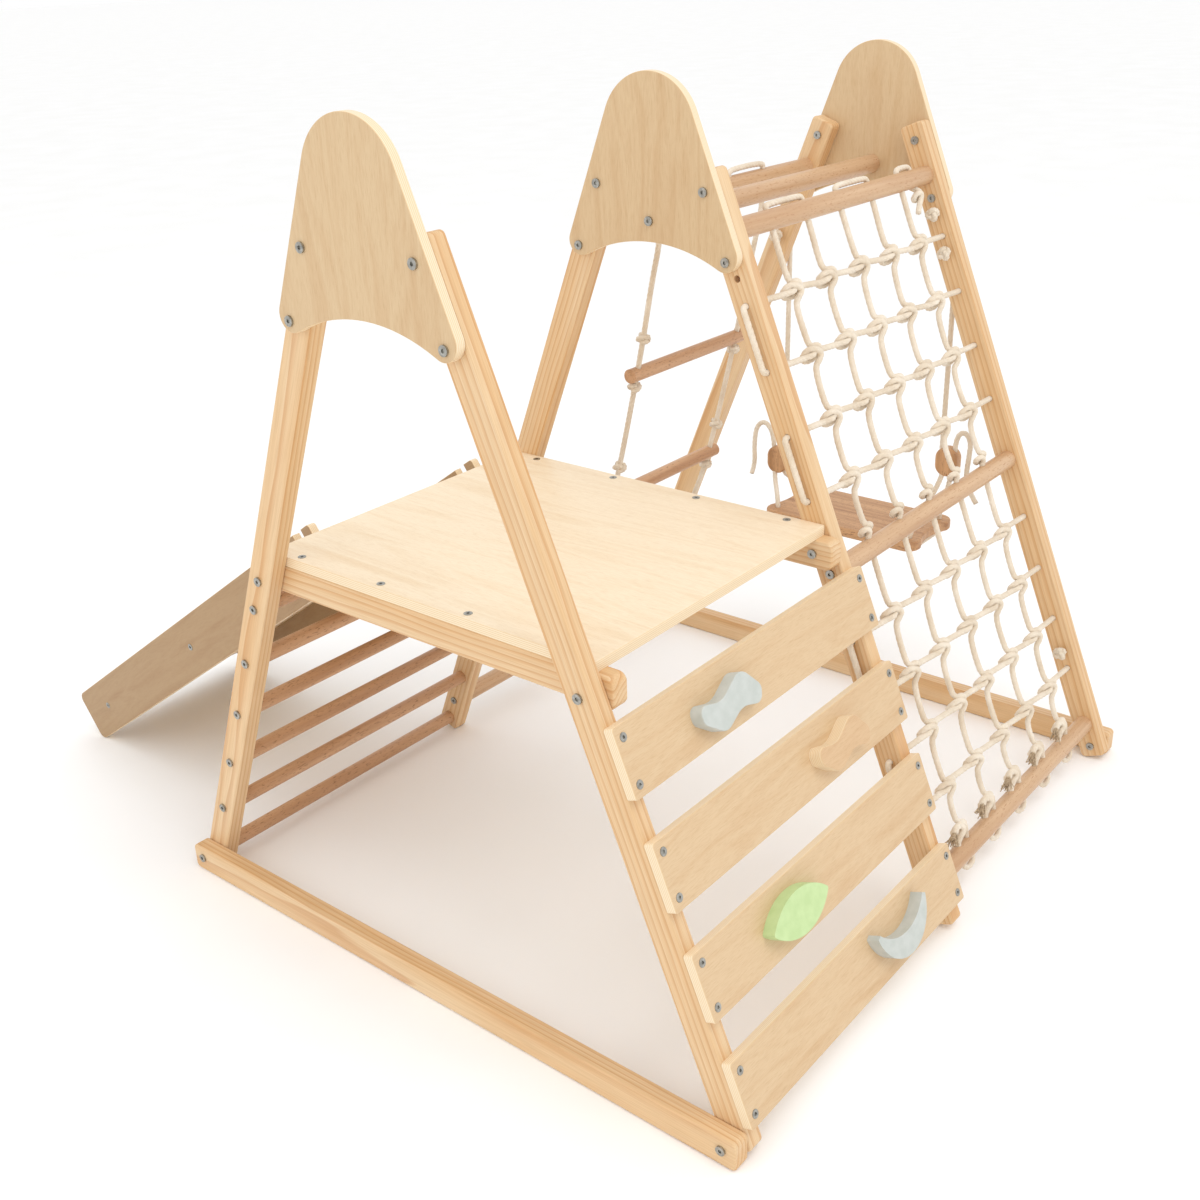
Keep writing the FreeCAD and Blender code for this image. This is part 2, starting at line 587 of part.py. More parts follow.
def make_rope_ladder():
    route = ladder_route()
    bar_y, bar_z = on_leg(BAR_FROM_TOP, 0, -1)
    rung_runs = (2, 4, 6)            # the runs of the route that carry a rung at their middle
    rung_places = []
    for run in rung_runs:
        a = V(0, *route[run])
        b = V(0, *route[run + 1])
        rung_places.append((between(a, b, 0.5), (b - a).normalize()))
    for i, (place, _) in enumerate(rung_places):
        start = V(MID_X + LADDER_RUNG / 2, place.y, place.z)
        end = V(MID_X - LADDER_RUNG / 2, place.y, place.z)
        nodes[f"rope_ladder_rung_{i + 1}"] = rod(start, end, RUNG_R)
    over = bar_z + DOWEL_R + ROPE_TURN
    tied = bar_z - DOWEL_R - KNOT_R - FIT
    for word, x in LADDER_X.items():
        inner = x - LADDER_LOOP if word == "near" else x + LADDER_LOOP
        foot = V(x, *route[-1])
        last_way = (foot - V(x, *route[-2])).normalize()
        points = [V(inner, bar_y, tied), V(inner, bar_y, over), V(x, bar_y, over)]
        points += [V(x, bar_y, bar_z - DOWEL_R - LADDER_DROP)]
        points += [V(x, y, z) for y, z in route[1:-1]]
        points += [foot + last_way * (DOWEL_R + KNOT_R + FIT)]
        radii = cord_radii(points, {1: ROPE_TURN, 2: ROPE_TURN})
        wire = smooth_wire(points, radii)
        print("rope ladder", word, "bends", [round(r) for r in radii], "length", round(wire.Length))
        rope = tube(wire, ROPE_R)
        print("  volume / (section x length)",
              round(rope.Volume / (math.pi * ROPE_R ** 2 * wire.Length), 4))
        knots = [knot(points[0], V(0, 0, 1)), knot(points[-1], last_way)]
        for place, way in rung_places:
            through = V(x, place.y, place.z)
            for drop in (-LADDER_KNOT_UP, RUNG_R + KNOT_R + FIT):
                knots.append(knot(through + way * drop, way))
            rope_hole(through - way * (RUNG_R + 1), through + way * (RUNG_R + 1))
        nodes[f"rope_ladder_rope_{word}"] = rope.fuse(knots)
        for across in (inner, x):
            rope_hole(V(across, bar_y, bar_z + DOWEL_R + 1), V(across, bar_y, bar_z - DOWEL_R - 1))
        rope_hole(foot - last_way * (DOWEL_R + 1), foot + last_way * (DOWEL_R + 1))


# ---------------------------------------------------------------- slide
def slide_angle(rung_z):
    """Slope at which the rounded foot just touches the floor."""
    run = SLIDE_DOWN - SLIDE_FOOT_R
    lift = SLIDE_FOOT_R - HOOK_DEPTH
    return math.asin((rung_z - SLIDE_FOOT_R) / math.hypot(run, lift)) + math.atan2(lift, run)


def make_slide():
    rung_y, rung_z = on_leg(from_foot(RUNG_FROM_FOOT) - (RUNG_COUNT - 1) * RUNG_PITCH, 0, -1)
    slope = slide_angle(rung_z)
    down = V(0, -math.cos(slope), -math.sin(slope))
    up = V(0, -math.sin(slope), math.cos(slope))

    def at(x, along, above):
        return V(x, rung_y, rung_z) + down * along + up * above

    low = -HOOK_DEPTH
    high = low + SIDE_HEIGHT
    slot = RUNG_R + FIT
    radii = [SLIDE_HEAD_R, SLIDE_FOOT_R, SLIDE_FOOT_R, SLIDE_HEAD_R]
    panel_x = {"near": SLIDE_X, "far": SLIDE_X - SLIDE_WIDTH + PLY}
    middle = (low + high) / 2
    for word, x in panel_x.items():
        corners = [at(x, -SLIDE_HEAD, low), at(x, SLIDE_DOWN, low),
                   at(x, SLIDE_DOWN, high), at(x, -SLIDE_HEAD, high)]
        panel = plate(corners, radii, PLY)
        for centre, outside in ((0, low - 1), (high - HOOK_DEPTH, high + 1)):
            inside = math.copysign(1, centre - outside)
            seat = at(x, 0, centre)
            mouth = [at(x, -slot, outside), at(x, slot, outside), at(x, slot, centre),
                     seat + up * slot * inside, at(x, -slot, centre)]
            edges = [Part.LineSegment(mouth[0], mouth[1]).toShape(),
                     Part.LineSegment(mouth[1], mouth[2]).toShape(),
                     Part.Arc(mouth[2], mouth[3], mouth[4]).toShape(),
                     Part.LineSegment(mouth[4], mouth[0]).toShape()]
            panel = panel.cut(Part.Face(Part.Wire(edges)).extrude(V(-PLY, 0, 0)))
        nodes[f"slide_side_{word}"] = soften(panel, PLY_EDGE)
    corners = [at(panel_x["near"] - PLY, a, b) for a, b in
               ((-SLIDE_HEAD + 8, middle - SLIDE_BOARD / 2), (SLIDE_DOWN - 8, middle - SLIDE_BOARD / 2),
                (SLIDE_DOWN - 8, middle + SLIDE_BOARD / 2), (-SLIDE_HEAD + 8, middle + SLIDE_BOARD / 2))]
    nodes["slide_board"] = plate(corners, 2.0, SLIDE_WIDTH - 2 * PLY)
    for distance in SLIDE_SCREWS:
        along = SLIDE_DOWN - distance
        fastener("slide_screws", at(SLIDE_X, along, middle), V(-1, 0, 0))
        fastener("slide_screws", at(SLIDE_X - SLIDE_WIDTH, along, middle), V(1, 0, 0))
    print("slide slope", round(math.degrees(slope), 2), "hook at", round(rung_y, 2), round(rung_z, 2))


# ---------------------------------------------------------------- swing
def make_seat():
    half_l = SEAT_LENGTH / 2
    half_w = SEAT_WIDTH / 2
    corners = []
    for dx, dy in ((1, 1), (-1, 1), (-1, -1), (1, -1)):
        corners.append(V(SWING_X + dx * half_w, dy * half_l, SEAT_TOP - SEAT_THICK))
    seat = Part.Face(smooth_wire(corners, SEAT_CORNER, closed=True)).extrude(V(0, 0, SEAT_THICK))
    scoop_half = half_w - SEAT_CORNER - 6
    scoop_r = (scoop_half ** 2 + SEAT_NOTCH ** 2) / (2 * SEAT_NOTCH)
    for side in (1, -1):
        centre = V(SWING_X, side * (half_l + scoop_r - SEAT_NOTCH), SEAT_TOP - SEAT_THICK - 1)
        seat = seat.cut(Part.makeCylinder(scoop_r, SEAT_THICK + 2, centre))
    rims = []
    for edge in seat.Edges:
        box = edge.BoundBox
        if box.ZLength < 1e-4:
            rims.append(edge)
    seat = seat.makeFillet(4.0, rims)
    dx, dy = SEAT_HOLE
    for sx in (1, -1):
        for sy in (1, -1):
            spot = V(SWING_X + sx * dx, sy * dy, SEAT_TOP - SEAT_THICK - 1)
            seat = seat.cut(Part.makeCylinder(ROPE_R + FIT, SEAT_THICK + 2, spot))
    return seat


def make_swing():
    nodes["swing_seat"] = make_seat()
    hang_y, hole_z = on_leg(SWING_FROM_TOP)
    turn = abs(SWING_X - (FACE[2] - STUD))
    dx, dy = SEAT_HOLE
    for side, word in ((-1, "left"), (1, "right")):
        y = side * hang_y
        # fixed part: knot, leg hole and the turn down beside the leg
        points = [V(FACE[2] + FIT + KNOT_R, y, hole_z), V(SWING_X, y, hole_z),
                  V(SWING_X, y, SWING_PIVOT_Z + ROPE_R + FIT)]
        stub = tube(smooth_wire(points, turn), ROPE_R)
        nodes[f"swing_anchor_{word}"] = stub.fuse(knot(points[0], V(1, 0, 0)))
        rope_hole(V(FACE[2] + 1, y, hole_z), V(FACE[2] - STUD - 1, y, hole_z))
        # toggle: an upright oval block
        mid_y = side * (hang_y + TOGGLE_OUT)
        mid_z = TOGGLE_Z[side]
        straight = (TOGGLE_HEIGHT - TOGGLE_WIDTH) / 2
        half = TOGGLE_WIDTH / 2
        x = SWING_X + TOGGLE_THICK / 2
        corners = [V(x, mid_y - half, mid_z - half - straight), V(x, mid_y + half, mid_z - half - straight),
                   V(x, mid_y + half, mid_z + half + straight), V(x, mid_y - half, mid_z + half + straight)]
        toggle = plate(corners, half - 1.0, TOGGLE_THICK)
        toggle = soften(toggle, 4.0)
        # hanging rope, with a round top on the pivot
        socket_top = mid_z + half + straight - SOCKET
        rope = rod(V(SWING_X, y, SWING_PIVOT_Z), V(SWING_X, y, socket_top - 6), ROPE_R)
        nodes[f"swing_rope_{word}"] = rope.fuse(Part.makeSphere(ROPE_R, V(SWING_X, y, SWING_PIVOT_Z)))
        toggle = toggle.cut(rod(V(SWING_X, y, mid_z + 60), V(SWING_X, y, socket_top - 6 - FIT), ROPE_R + FIT))
        # bridle: from the toggle, through the seat, under it and back
        bottom = mid_z - half - straight
        under = SEAT_TOP - SEAT_THICK - SEAT_TURN
        legs = []
        for s in (1, -1):
            legs.append([V(SWING_X + s * 5, mid_y - s * 6.2, bottom + SOCKET + 2),
                         V(SWING_X + s * 6, mid_y - s * 6.2, bottom - 9),
                         V(SWING_X + s * dx, side * dy, SEAT_TOP + 16),
                         V(SWING_X + s * dx, side * dy, under)])
        points = legs[0] + legs[1][::-1]
        bends = BRIDLE_BENDS + (SEAT_TURN,)
        radii = cord_radii(points, dict(enumerate(bends + bends[::-1], 1)))
        bridle = smooth_wire(points, radii)
        print("swing bridle", word, "bends", [round(r) for r in radii], "length", round(bridle.Length))
        nodes[f"swing_bridle_{word}"] = tube(bridle, ROPE_R)
        toggle = toggle.cut(tube(bridle, ROPE_R + FIT))
        # loose tail out of the toggle's top
        tail_points = [V(SWING_X, mid_y + side * out, mid_z + rise) for out, rise in TAIL[side]]
        tail_radii = cord_radii(tail_points)
        tail = smooth_wire(tail_points, tail_radii)
        print("swing tail", word, "bends", [round(r) for r in tail_radii], "length", round(tail.Length))
        nodes[f"swing_tail_{word}"] = tube(tail, ROPE_R)
        toggle = toggle.cut(tube(tail, ROPE_R + FIT))
        nodes[f"swing_toggle_{word}"] = toggle


# ---------------------------------------------------------------- assembly
WOODEN = ("leg", "cap", "rail", "beam", "board", "plank", "rung", "bar_", "dowel", "slide_side")


def drill():
    """Cut every bolt, screw and rope hole out of the wooden pieces that it passes through."""
    for name in nodes:
        if "rope_ladder_rope" in name or "anchor" in name:
            continue
        if not any(word in name for word in WOODEN):
            continue
        box = nodes[name].BoundBox
        met = [hole for hole in holes if box.intersect(hole.BoundBox)]
        if met:
            nodes[name] = nodes[name].cut(met)


def settle():
    """Middle of the whole object's box, at floor level, becomes the origin."""
    boxes = [shape.optimalBoundingBox(False, False) for shape in nodes.values()]
    middle_x = (min(b.XMin for b in boxes) + max(b.XMax for b in boxes)) / 2
    middle_y = (min(b.YMin for b in boxes) + max(b.YMax for b in boxes)) / 2
    shift = V(-middle_x, -middle_y, -min(b.ZMin for b in boxes))
    print("shift", round(shift.x, 3), round(shift.y, 3), round(shift.z, 3))
    print("size", round(max(b.XMax for b in boxes) - min(b.XMin for b in boxes), 2),
          round(max(b.YMax for b in boxes) - min(b.YMin for b in boxes), 2),
          round(max(b.ZMax for b in boxes) + shift.z, 2))
    for shape in nodes.values():
        shape.translate(shift)


def main():
    make_frames()
    make_platform()
    make_wall()
    make_holds()
    make_rungs()
    make_bars()
    make_net()
    make_cross_rope()
    make_rope_ladder()
    make_slide()
    make_swing()
    drill()
    for name, pieces in fasteners.items():
        nodes[name] = Part.makeCompound(pieces)
    settle()
    os.makedirs("parts", exist_ok=True)
    for name, shape in sorted(nodes.items()):
        if len(shape.Solids) != 1 and name not in fasteners:
            print("CHECK", name, "has", len(shape.Solids), "solids")
        if not shape.isValid():
            print("CHECK", name, "is not valid")
        shape.exportStep(f"parts/{name}.step")
    print(len(nodes), "nodes")


main()
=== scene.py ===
# %% [markdown]
# # A wooden indoor climbing frame
# Three A-shaped frames carry a platform with a slide, a rung ladder, a climbing wall, hand bars,
# a cargo net, a rope ladder and a swing. The timber comes from the CAD model, so the work here is
# its finish: pine, birch plywood, beech, paint and zinc. The ropes are new pieces, laid from
# strands along their real routes.

# %% Load the frame
import math
import random

import bpy
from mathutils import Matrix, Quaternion, Vector


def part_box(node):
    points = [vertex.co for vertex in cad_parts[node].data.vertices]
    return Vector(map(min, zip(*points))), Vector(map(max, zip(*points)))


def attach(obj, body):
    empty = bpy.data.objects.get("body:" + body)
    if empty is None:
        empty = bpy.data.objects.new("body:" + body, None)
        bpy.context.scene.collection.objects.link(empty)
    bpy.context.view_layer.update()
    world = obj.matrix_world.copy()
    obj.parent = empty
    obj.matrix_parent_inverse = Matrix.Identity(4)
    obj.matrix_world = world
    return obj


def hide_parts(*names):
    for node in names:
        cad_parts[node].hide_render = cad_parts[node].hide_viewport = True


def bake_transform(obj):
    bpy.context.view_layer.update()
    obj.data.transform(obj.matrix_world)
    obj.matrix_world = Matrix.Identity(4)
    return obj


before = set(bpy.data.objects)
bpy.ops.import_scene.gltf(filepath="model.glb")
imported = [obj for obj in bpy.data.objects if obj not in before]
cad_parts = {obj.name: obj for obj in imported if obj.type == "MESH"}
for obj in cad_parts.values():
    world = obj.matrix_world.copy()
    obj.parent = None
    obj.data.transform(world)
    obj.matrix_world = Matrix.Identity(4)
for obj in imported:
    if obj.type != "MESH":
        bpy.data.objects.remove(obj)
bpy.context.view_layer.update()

MM = 0.001

# %% [markdown]
# ## Camera
# The camera stands at a child's parent's height, off the corner between frame 1 and the climbing
# wall. A camera has no roll when its up axis is tracked to Z, so the small roll is added after.

# %% Camera
camera_data = bpy.data.cameras.new("camera")
camera_data.lens = 41.97
camera_data.sensor_width = 36.0
camera = bpy.data.objects.new("camera", camera_data)
bpy.context.collection.objects.link(camera)
camera.location = (1.76394, 1.54864, 1.40275)
look = Vector((0.0, 0.08693, 0.34393)) - camera.location
camera.rotation_mode = "QUATERNION"
camera.rotation_quaternion = look.to_track_quat("-Z", "Y") @ Quaternion((0, 0, 1), math.radians(-1.98))
bpy.context.scene.camera = camera
print("camera looks along", [round(v, 3) for v in look.normalized()])

# %% [markdown]
# ## Places
# Every place comes from the CAD parts. The bar, the middle dowel and the foot dowel lie on the
# centre line of the legs, so they give the slope of the net and the places of its rows.


# %% Places
def middle(node):
    low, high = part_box(node)
    return (low + high) / 2


ROPE_R = 5 * MM
KNOT_R = 13.5 * MM
DOWEL_R = 16 * MM
RUNG_R = 12.5 * MM
bar = {"net": middle("bar_net_side"), "ladder": middle("bar_ladder_side")}
foot = {"net": middle("net_dowel_foot"), "ladder": middle("rope_ladder_dowel_foot")}
middle_dowel = middle("net_dowel_middle")
down = (foot["net"] - bar["net"]).normalized()
out = Vector((0, -down.z, down.y))
mid_x = bar["net"].x
face_2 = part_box("frame2_leg_wall")
face_3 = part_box("frame3_leg_wall")
print("net slope", round(math.degrees(math.atan2(down.y, -down.z)), 2), "degrees from upright")

# %% [markdown]
# ## A rope's lay
# A cotton rope is strands twisted round each other. Sweeping a three-lobed ring along the route
# and turning it as it goes gives the same surface as three twisted strands. A Geometry Nodes tree
# does it: it samples the route, tilts it in step with its length, and sweeps the ring. A rope that
# is pulled tight round a leg or a bar is straight runs with short bends, so for it the tree first
# bends the corners to a given turn; a free rope hangs on its own smooth curve and has none.


# %% Colour, and one helper for adding nodes
def colour(code):
    """Linear colour from an sRGB hex code."""
    channels = [int(code[i:i + 2], 16) / 255 for i in (0, 2, 4)]
    linear = [c / 12.92 if c <= 0.04045 else ((c + 0.055) / 1.055) ** 2.4 for c in channels]
    return (*linear, 1.0)


def add(tree, kind, inputs=None, stops=(), **settings):
    """Add a node, set its settings, then set its inputs by name or number, or link them.

    An input given a node is linked to that node's first output. Stops are the marks of a colour
    ramp, each a position and an sRGB hex code.
    """
    node = tree.nodes.new(kind)
    for name, value in settings.items():
        setattr(node, name, value)
    for name, value in (inputs or {}).items():
        if isinstance(value, bpy.types.Node):
            value = value.outputs[0]
        if isinstance(value, bpy.types.NodeSocket):
            tree.links.new(value, node.inputs[name])
        else:
            node.inputs[name].default_value = value
    if stops:
        marks = node.color_ramp.elements
        marks[0].position = stops[0][0]
        marks[1].position = stops[-1][0]
        for position, _ in stops[1:-1]:
            marks.new(position)
        for mark, (_, code) in zip(marks, stops):
            mark.color = colour(code)
    return node


def new_input(tree, name, kind, value):
    socket = tree.interface.new_socket(name, in_out="INPUT", socket_type=kind)
    if kind != "NodeSocketMaterial":
        socket.default_value = value
    return socket.identifier


# %% The rope tree
rope_tree = bpy.data.node_groups.new("lay a rope", "GeometryNodeTree")
rope_tree.interface.new_socket("Route", in_out="INPUT", socket_type="NodeSocketGeometry")
rope_inputs = {
    "Radius": new_input(rope_tree, "Radius", "NodeSocketFloat", ROPE_R),
    "Lay length": new_input(rope_tree, "Lay length", "NodeSocketFloat", 30 * MM),
    "Step": new_input(rope_tree, "Step", "NodeSocketFloat", 2.8 * MM),
    "Groove": new_input(rope_tree, "Groove", "NodeSocketFloat", 0.12),
    "Turn": new_input(rope_tree, "Turn", "NodeSocketFloat", 0.0),
    "Sides": new_input(rope_tree, "Sides", "NodeSocketInt", 18),
    "Material": new_input(rope_tree, "Material", "NodeSocketMaterial", None),
}
rope_tree.interface.new_socket("Rope", in_out="OUTPUT", socket_type="NodeSocketGeometry")


def build_rope_tree(tree):
    given = add(tree, "NodeGroupInput").outputs
    bent = add(tree, "GeometryNodeFilletCurve",
               {0: given["Route"], "Radius": given["Turn"], "Count": 8}, mode="POLY")
    tight = add(tree, "FunctionNodeCompare", {0: given["Turn"], 1: 0.0}, operation="GREATER_THAN")
    route = add(tree, "GeometryNodeSwitch",
                {"Switch": tight.outputs[0], "False": given["Route"], "True": bent.outputs[0]},
                input_type="GEOMETRY")
    samples = add(tree, "GeometryNodeResampleCurve", {"Curve": route.outputs[0], "Length": given["Step"]},
                  mode="LENGTH")
    along = add(tree, "GeometryNodeSplineParameter").outputs["Length"]
    turns = add(tree, "ShaderNodeMath", {0: along, 1: given["Lay length"]}, operation="DIVIDE").outputs[0]
    tilt = add(tree, "ShaderNodeMath", {0: turns, 1: math.tau}, operation="MULTIPLY").outputs[0]
    tilted = add(tree, "GeometryNodeSetCurveTilt", {0: samples.outputs[0], "Tilt": tilt})
    ring = add(tree, "GeometryNodeCurvePrimitiveCircle",
               {"Resolution": given["Sides"], "Radius": given["Radius"]})
    spot = add(tree, "GeometryNodeInputPosition").outputs[0]
    parts = add(tree, "ShaderNodeSeparateXYZ", {0: spot}).outputs
    angle = add(tree, "ShaderNodeMath", {0: parts["Y"], 1: parts["X"]}, operation="ARCTAN2").outputs[0]
    lobes = add(tree, "ShaderNodeMath", {0: angle, 1: 1.5}, operation="MULTIPLY").outputs[0]
    wave = add(tree, "ShaderNodeMath", {0: lobes}, operation="SINE").outputs[0]
    depth = add(tree, "ShaderNodeMath", {0: wave}, operation="ABSOLUTE").outputs[0]
    dip = add(tree, "ShaderNodeMath", {0: 1.0, 1: depth}, operation="SUBTRACT").outputs[0]
    sharp = add(tree, "ShaderNodeMath", {0: dip, 1: 1.6}, operation="POWER").outputs[0]
    cut = add(tree, "ShaderNodeMath", {0: sharp, 1: given["Groove"]}, operation="MULTIPLY").outputs[0]
    keep = add(tree, "ShaderNodeMath", {0: 1.0, 1: cut}, operation="SUBTRACT").outputs[0]
    scaled = add(tree, "ShaderNodeVectorMath", {0: spot, "Scale": keep}, operation="SCALE").outputs[0]
    lobed = add(tree, "GeometryNodeSetPosition", {0: ring.outputs[0], "Position": scaled})
    swept = add(tree, "GeometryNodeCurveToMesh",
                {"Curve": tilted.outputs[0], "Profile Curve": lobed.outputs[0], "Fill Caps": True})
    real = add(tree, "GeometryNodeRealizeInstances", {0: swept.outputs[0]})
    smooth = add(tree, "GeometryNodeSetShadeSmooth", {0: real.outputs[0]})
    skin = add(tree, "GeometryNodeSetMaterial", {0: smooth.outputs[0], "Material": given["Material"]})
    add(tree, "NodeGroupOutput", {0: skin.outputs[0]})


build_rope_tree(rope_tree)
print("rope tree has", len(rope_tree.nodes), "nodes")

# %% [markdown]
# ## Materials, and the cotton first
# A pattern's scale is given as the real size of one of its features, in millimetres, and one
# function turns that to the features per metre that a texture node wants. The rope is unbleached
# cotton, twisted from spun yarn: warm white, quite rough, and furry with fine fibres. A fine bump
# and a little sheen give that look.


# %% A new material, and the scale of a pattern
def new_material(name):
    """A material with an empty tree, and that tree."""
    material = bpy.data.materials.new(name)
    material.use_nodes = True
    material.node_tree.nodes.clear()
    return material, material.node_tree


def each(size):
    """Features per metre, from the size of one feature in millimetres."""
    return 1 / (size * MM)


# %% Cotton rope
# Unbleached cotton, spun and twisted: a matt, warm white with a soft furry edge. Its fibres are
# about 0.02 mm thick, too fine to show, so they are drawn as tufts of 1.1 mm.
cotton, tree = new_material("unbleached cotton rope")
spot = add(tree, "ShaderNodeTexCoord").outputs["Object"]
fibres = add(tree, "ShaderNodeTexNoise",
             {"Vector": spot, "Scale": each(1.111), "Detail": 3.0, "Roughness": 0.7})
stain = add(tree, "ShaderNodeTexNoise", {"Vector": spot, "Scale": each(35.7), "Detail": 2.0})
mixed = add(tree, "ShaderNodeMath", {0: fibres, 1: stain}, operation="ADD")
half = add(tree, "ShaderNodeMath", {0: mixed, 1: 0.5}, operation="MULTIPLY")
tone = add(tree, "ShaderNodeValToRGB", {"Fac": half},
           stops=[(0.3, "D8C4AA"), (0.5, "E9DAC4"), (0.7, "F6ECDD")])
fur = add(tree, "ShaderNodeBump", {"Height": fibres, "Distance": 0.6 * MM, "Strength": 0.5})
shader = add(tree, "ShaderNodeBsdfPrincipled",
             {"Base Color": tone, "Normal": fur, "Roughness": 0.88,
              "Sheen Weight": 0.25, "Sheen Roughness": 0.5})
add(tree, "ShaderNodeOutputMaterial", {"Surface": shader})
print("made", cotton.name)

# %% [markdown]
# ## Routes
# A route is a NURBS curve of order 3 through a short list of points: it bends smoothly and needs
# few of them. The plain mesh of that curve, with no thickness, gives the line that everything on
# the rope follows.


# %% Route and rope helpers
def route_curve(name, points):
    data = bpy.data.curves.new(name, "CURVE")
    data.dimensions = "3D"
    data.resolution_u = 24
    spline = data.splines.new("NURBS")
    spline.points.add(len(points) - 1)
    for spot, point in zip(spline.points, points):
        spot.co = (*point, 1.0)
    spline.order_u = 3
    spline.use_endpoint_u = True
    return data


def route_line(data):
    """Points down the middle of a route, and its length."""
    bare = bpy.data.objects.new("bare", data)
    mesh = bpy.data.meshes.new_from_object(bare)
    line = [vertex.co.copy() for vertex in mesh.vertices]
    bpy.data.meshes.remove(mesh)
    bpy.data.objects.remove(bare)
    return line, sum((b - a).length for a, b in zip(line, line[1:]))


def with_tree(name, data, tree, values):
    """Run a node tree on a curve or mesh and give the result as a plain mesh."""
    source = bpy.data.objects.new(name + "_source", data)
    bpy.context.collection.objects.link(source)
    modifier = source.modifiers.new("tree", "NODES")
    modifier.node_group = tree
    for identifier, value in values.items():
        modifier[identifier] = value
    depsgraph = bpy.context.evaluated_depsgraph_get()
    mesh = bpy.data.meshes.new_from_object(source.evaluated_get(depsgraph), depsgraph=depsgraph)
    mesh.name = name
    bpy.data.objects.remove(source)
    return mesh


def lay_rope(name, routes, turn=0.0):
    """One mesh of rope along each route; a turn makes its runs straight, with bends of that radius."""
    meshes = []
    for i, points in enumerate(routes):
        data = route_curve(f"{name}_route_{i}", points)
        if turn:
            data.splines[0].type = "POLY"
        values = {rope_inputs["Material"]: cotton, rope_inputs["Turn"]: turn}
        meshes.append(with_tree(f"{name}_{i}", data, rope_tree, values))
    piece = bpy.data.objects.new(name, join(name, meshes))
    bpy.context.collection.objects.link(piece)
    return piece


def join(name, meshes, material=cotton):
    """Several meshes as one."""
    joined = bpy.data.meshes.new(name)
    vertices = []
    faces = []
    for mesh in meshes:
        start = len(vertices)
        vertices.extend(v.co.copy() for v in mesh.vertices)
        faces.extend([start + i for i in polygon.vertices] for polygon in mesh.polygons)
    joined.from_pydata(vertices, [], faces)
    joined.materials.append(material)
    joined.polygons.foreach_set("use_smooth", [True] * len(joined.polygons))
    joined.update()
    for mesh in meshes:
        bpy.data.meshes.remove(mesh)
    return joined


# %% [markdown]
# ## Free ropes: the rope ladder
# Its two ropes go over the bar in a short loop, hang a little slack through three rungs and end
# under the foot dowel. The length of each rope is printed.


# %% Rope ladder ropes
LADDER_SHARES = (
    (0.13, 0.045), (0.245, 0.103), (0.36, 0.170), (0.49, 0.250), (0.61, 0.335),
    (0.74, 0.485), (0.86, 0.67), (0.935, 0.825), (1.0, 1.0),
)
LADDER_HALF = 152 * MM
LADDER_LOOP = 106 * MM
LADDER_TURN = 10 * MM
LADDER_DROP = 42 * MM
LADDER_KNOT_UP = 64 * MM
ladder_top = bar["ladder"]
ladder_span = foot["ladder"] - ladder_top


def ladder_points(side):
    """The rope's route: side is 1 for the rope nearer frame 2 and -1 for the other."""
    x = mid_x + side * LADDER_HALF
    inner = x - side * LADDER_LOOP
    over = ladder_top.z + DOWEL_R + LADDER_TURN
    hang = [Vector((x, ladder_top.y + ladder_span.y * o, ladder_top.z + ladder_span.z * d))
            for d, o in LADDER_SHARES]
    tie = ladder_top.z - DOWEL_R - KNOT_R - 0.3 * MM
    beyond = (hang[-1] - hang[-2]).normalized() * (DOWEL_R + KNOT_R + 0.3 * MM)
    start = [Vector((inner, ladder_top.y, tie)), Vector((inner, ladder_top.y, ladder_top.z + DOWEL_R)),
             Vector((inner, ladder_top.y, over)), Vector((x, ladder_top.y, over)),
             Vector((x, ladder_top.y, ladder_top.z + DOWEL_R)),
             Vector((x, ladder_top.y, ladder_top.z - DOWEL_R - LADDER_DROP))]
    return start + hang[:-1] + [hang[-1] + beyond]


ladder_ropes = {}
for side, word in ((1, "near"), (-1, "far")):
    points = ladder_points(side)
    piece = lay_rope(f"ladder_rope_{word}", [points])
    line, length = route_line(route_curve("ladder", points))
    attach(piece, "frame")
    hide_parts(f"rope_ladder_rope_{word}")
    ladder_ropes[word] = line
    print(piece.name, "is", round(length, 3), "m,", len(piece.data.polygons), "faces")
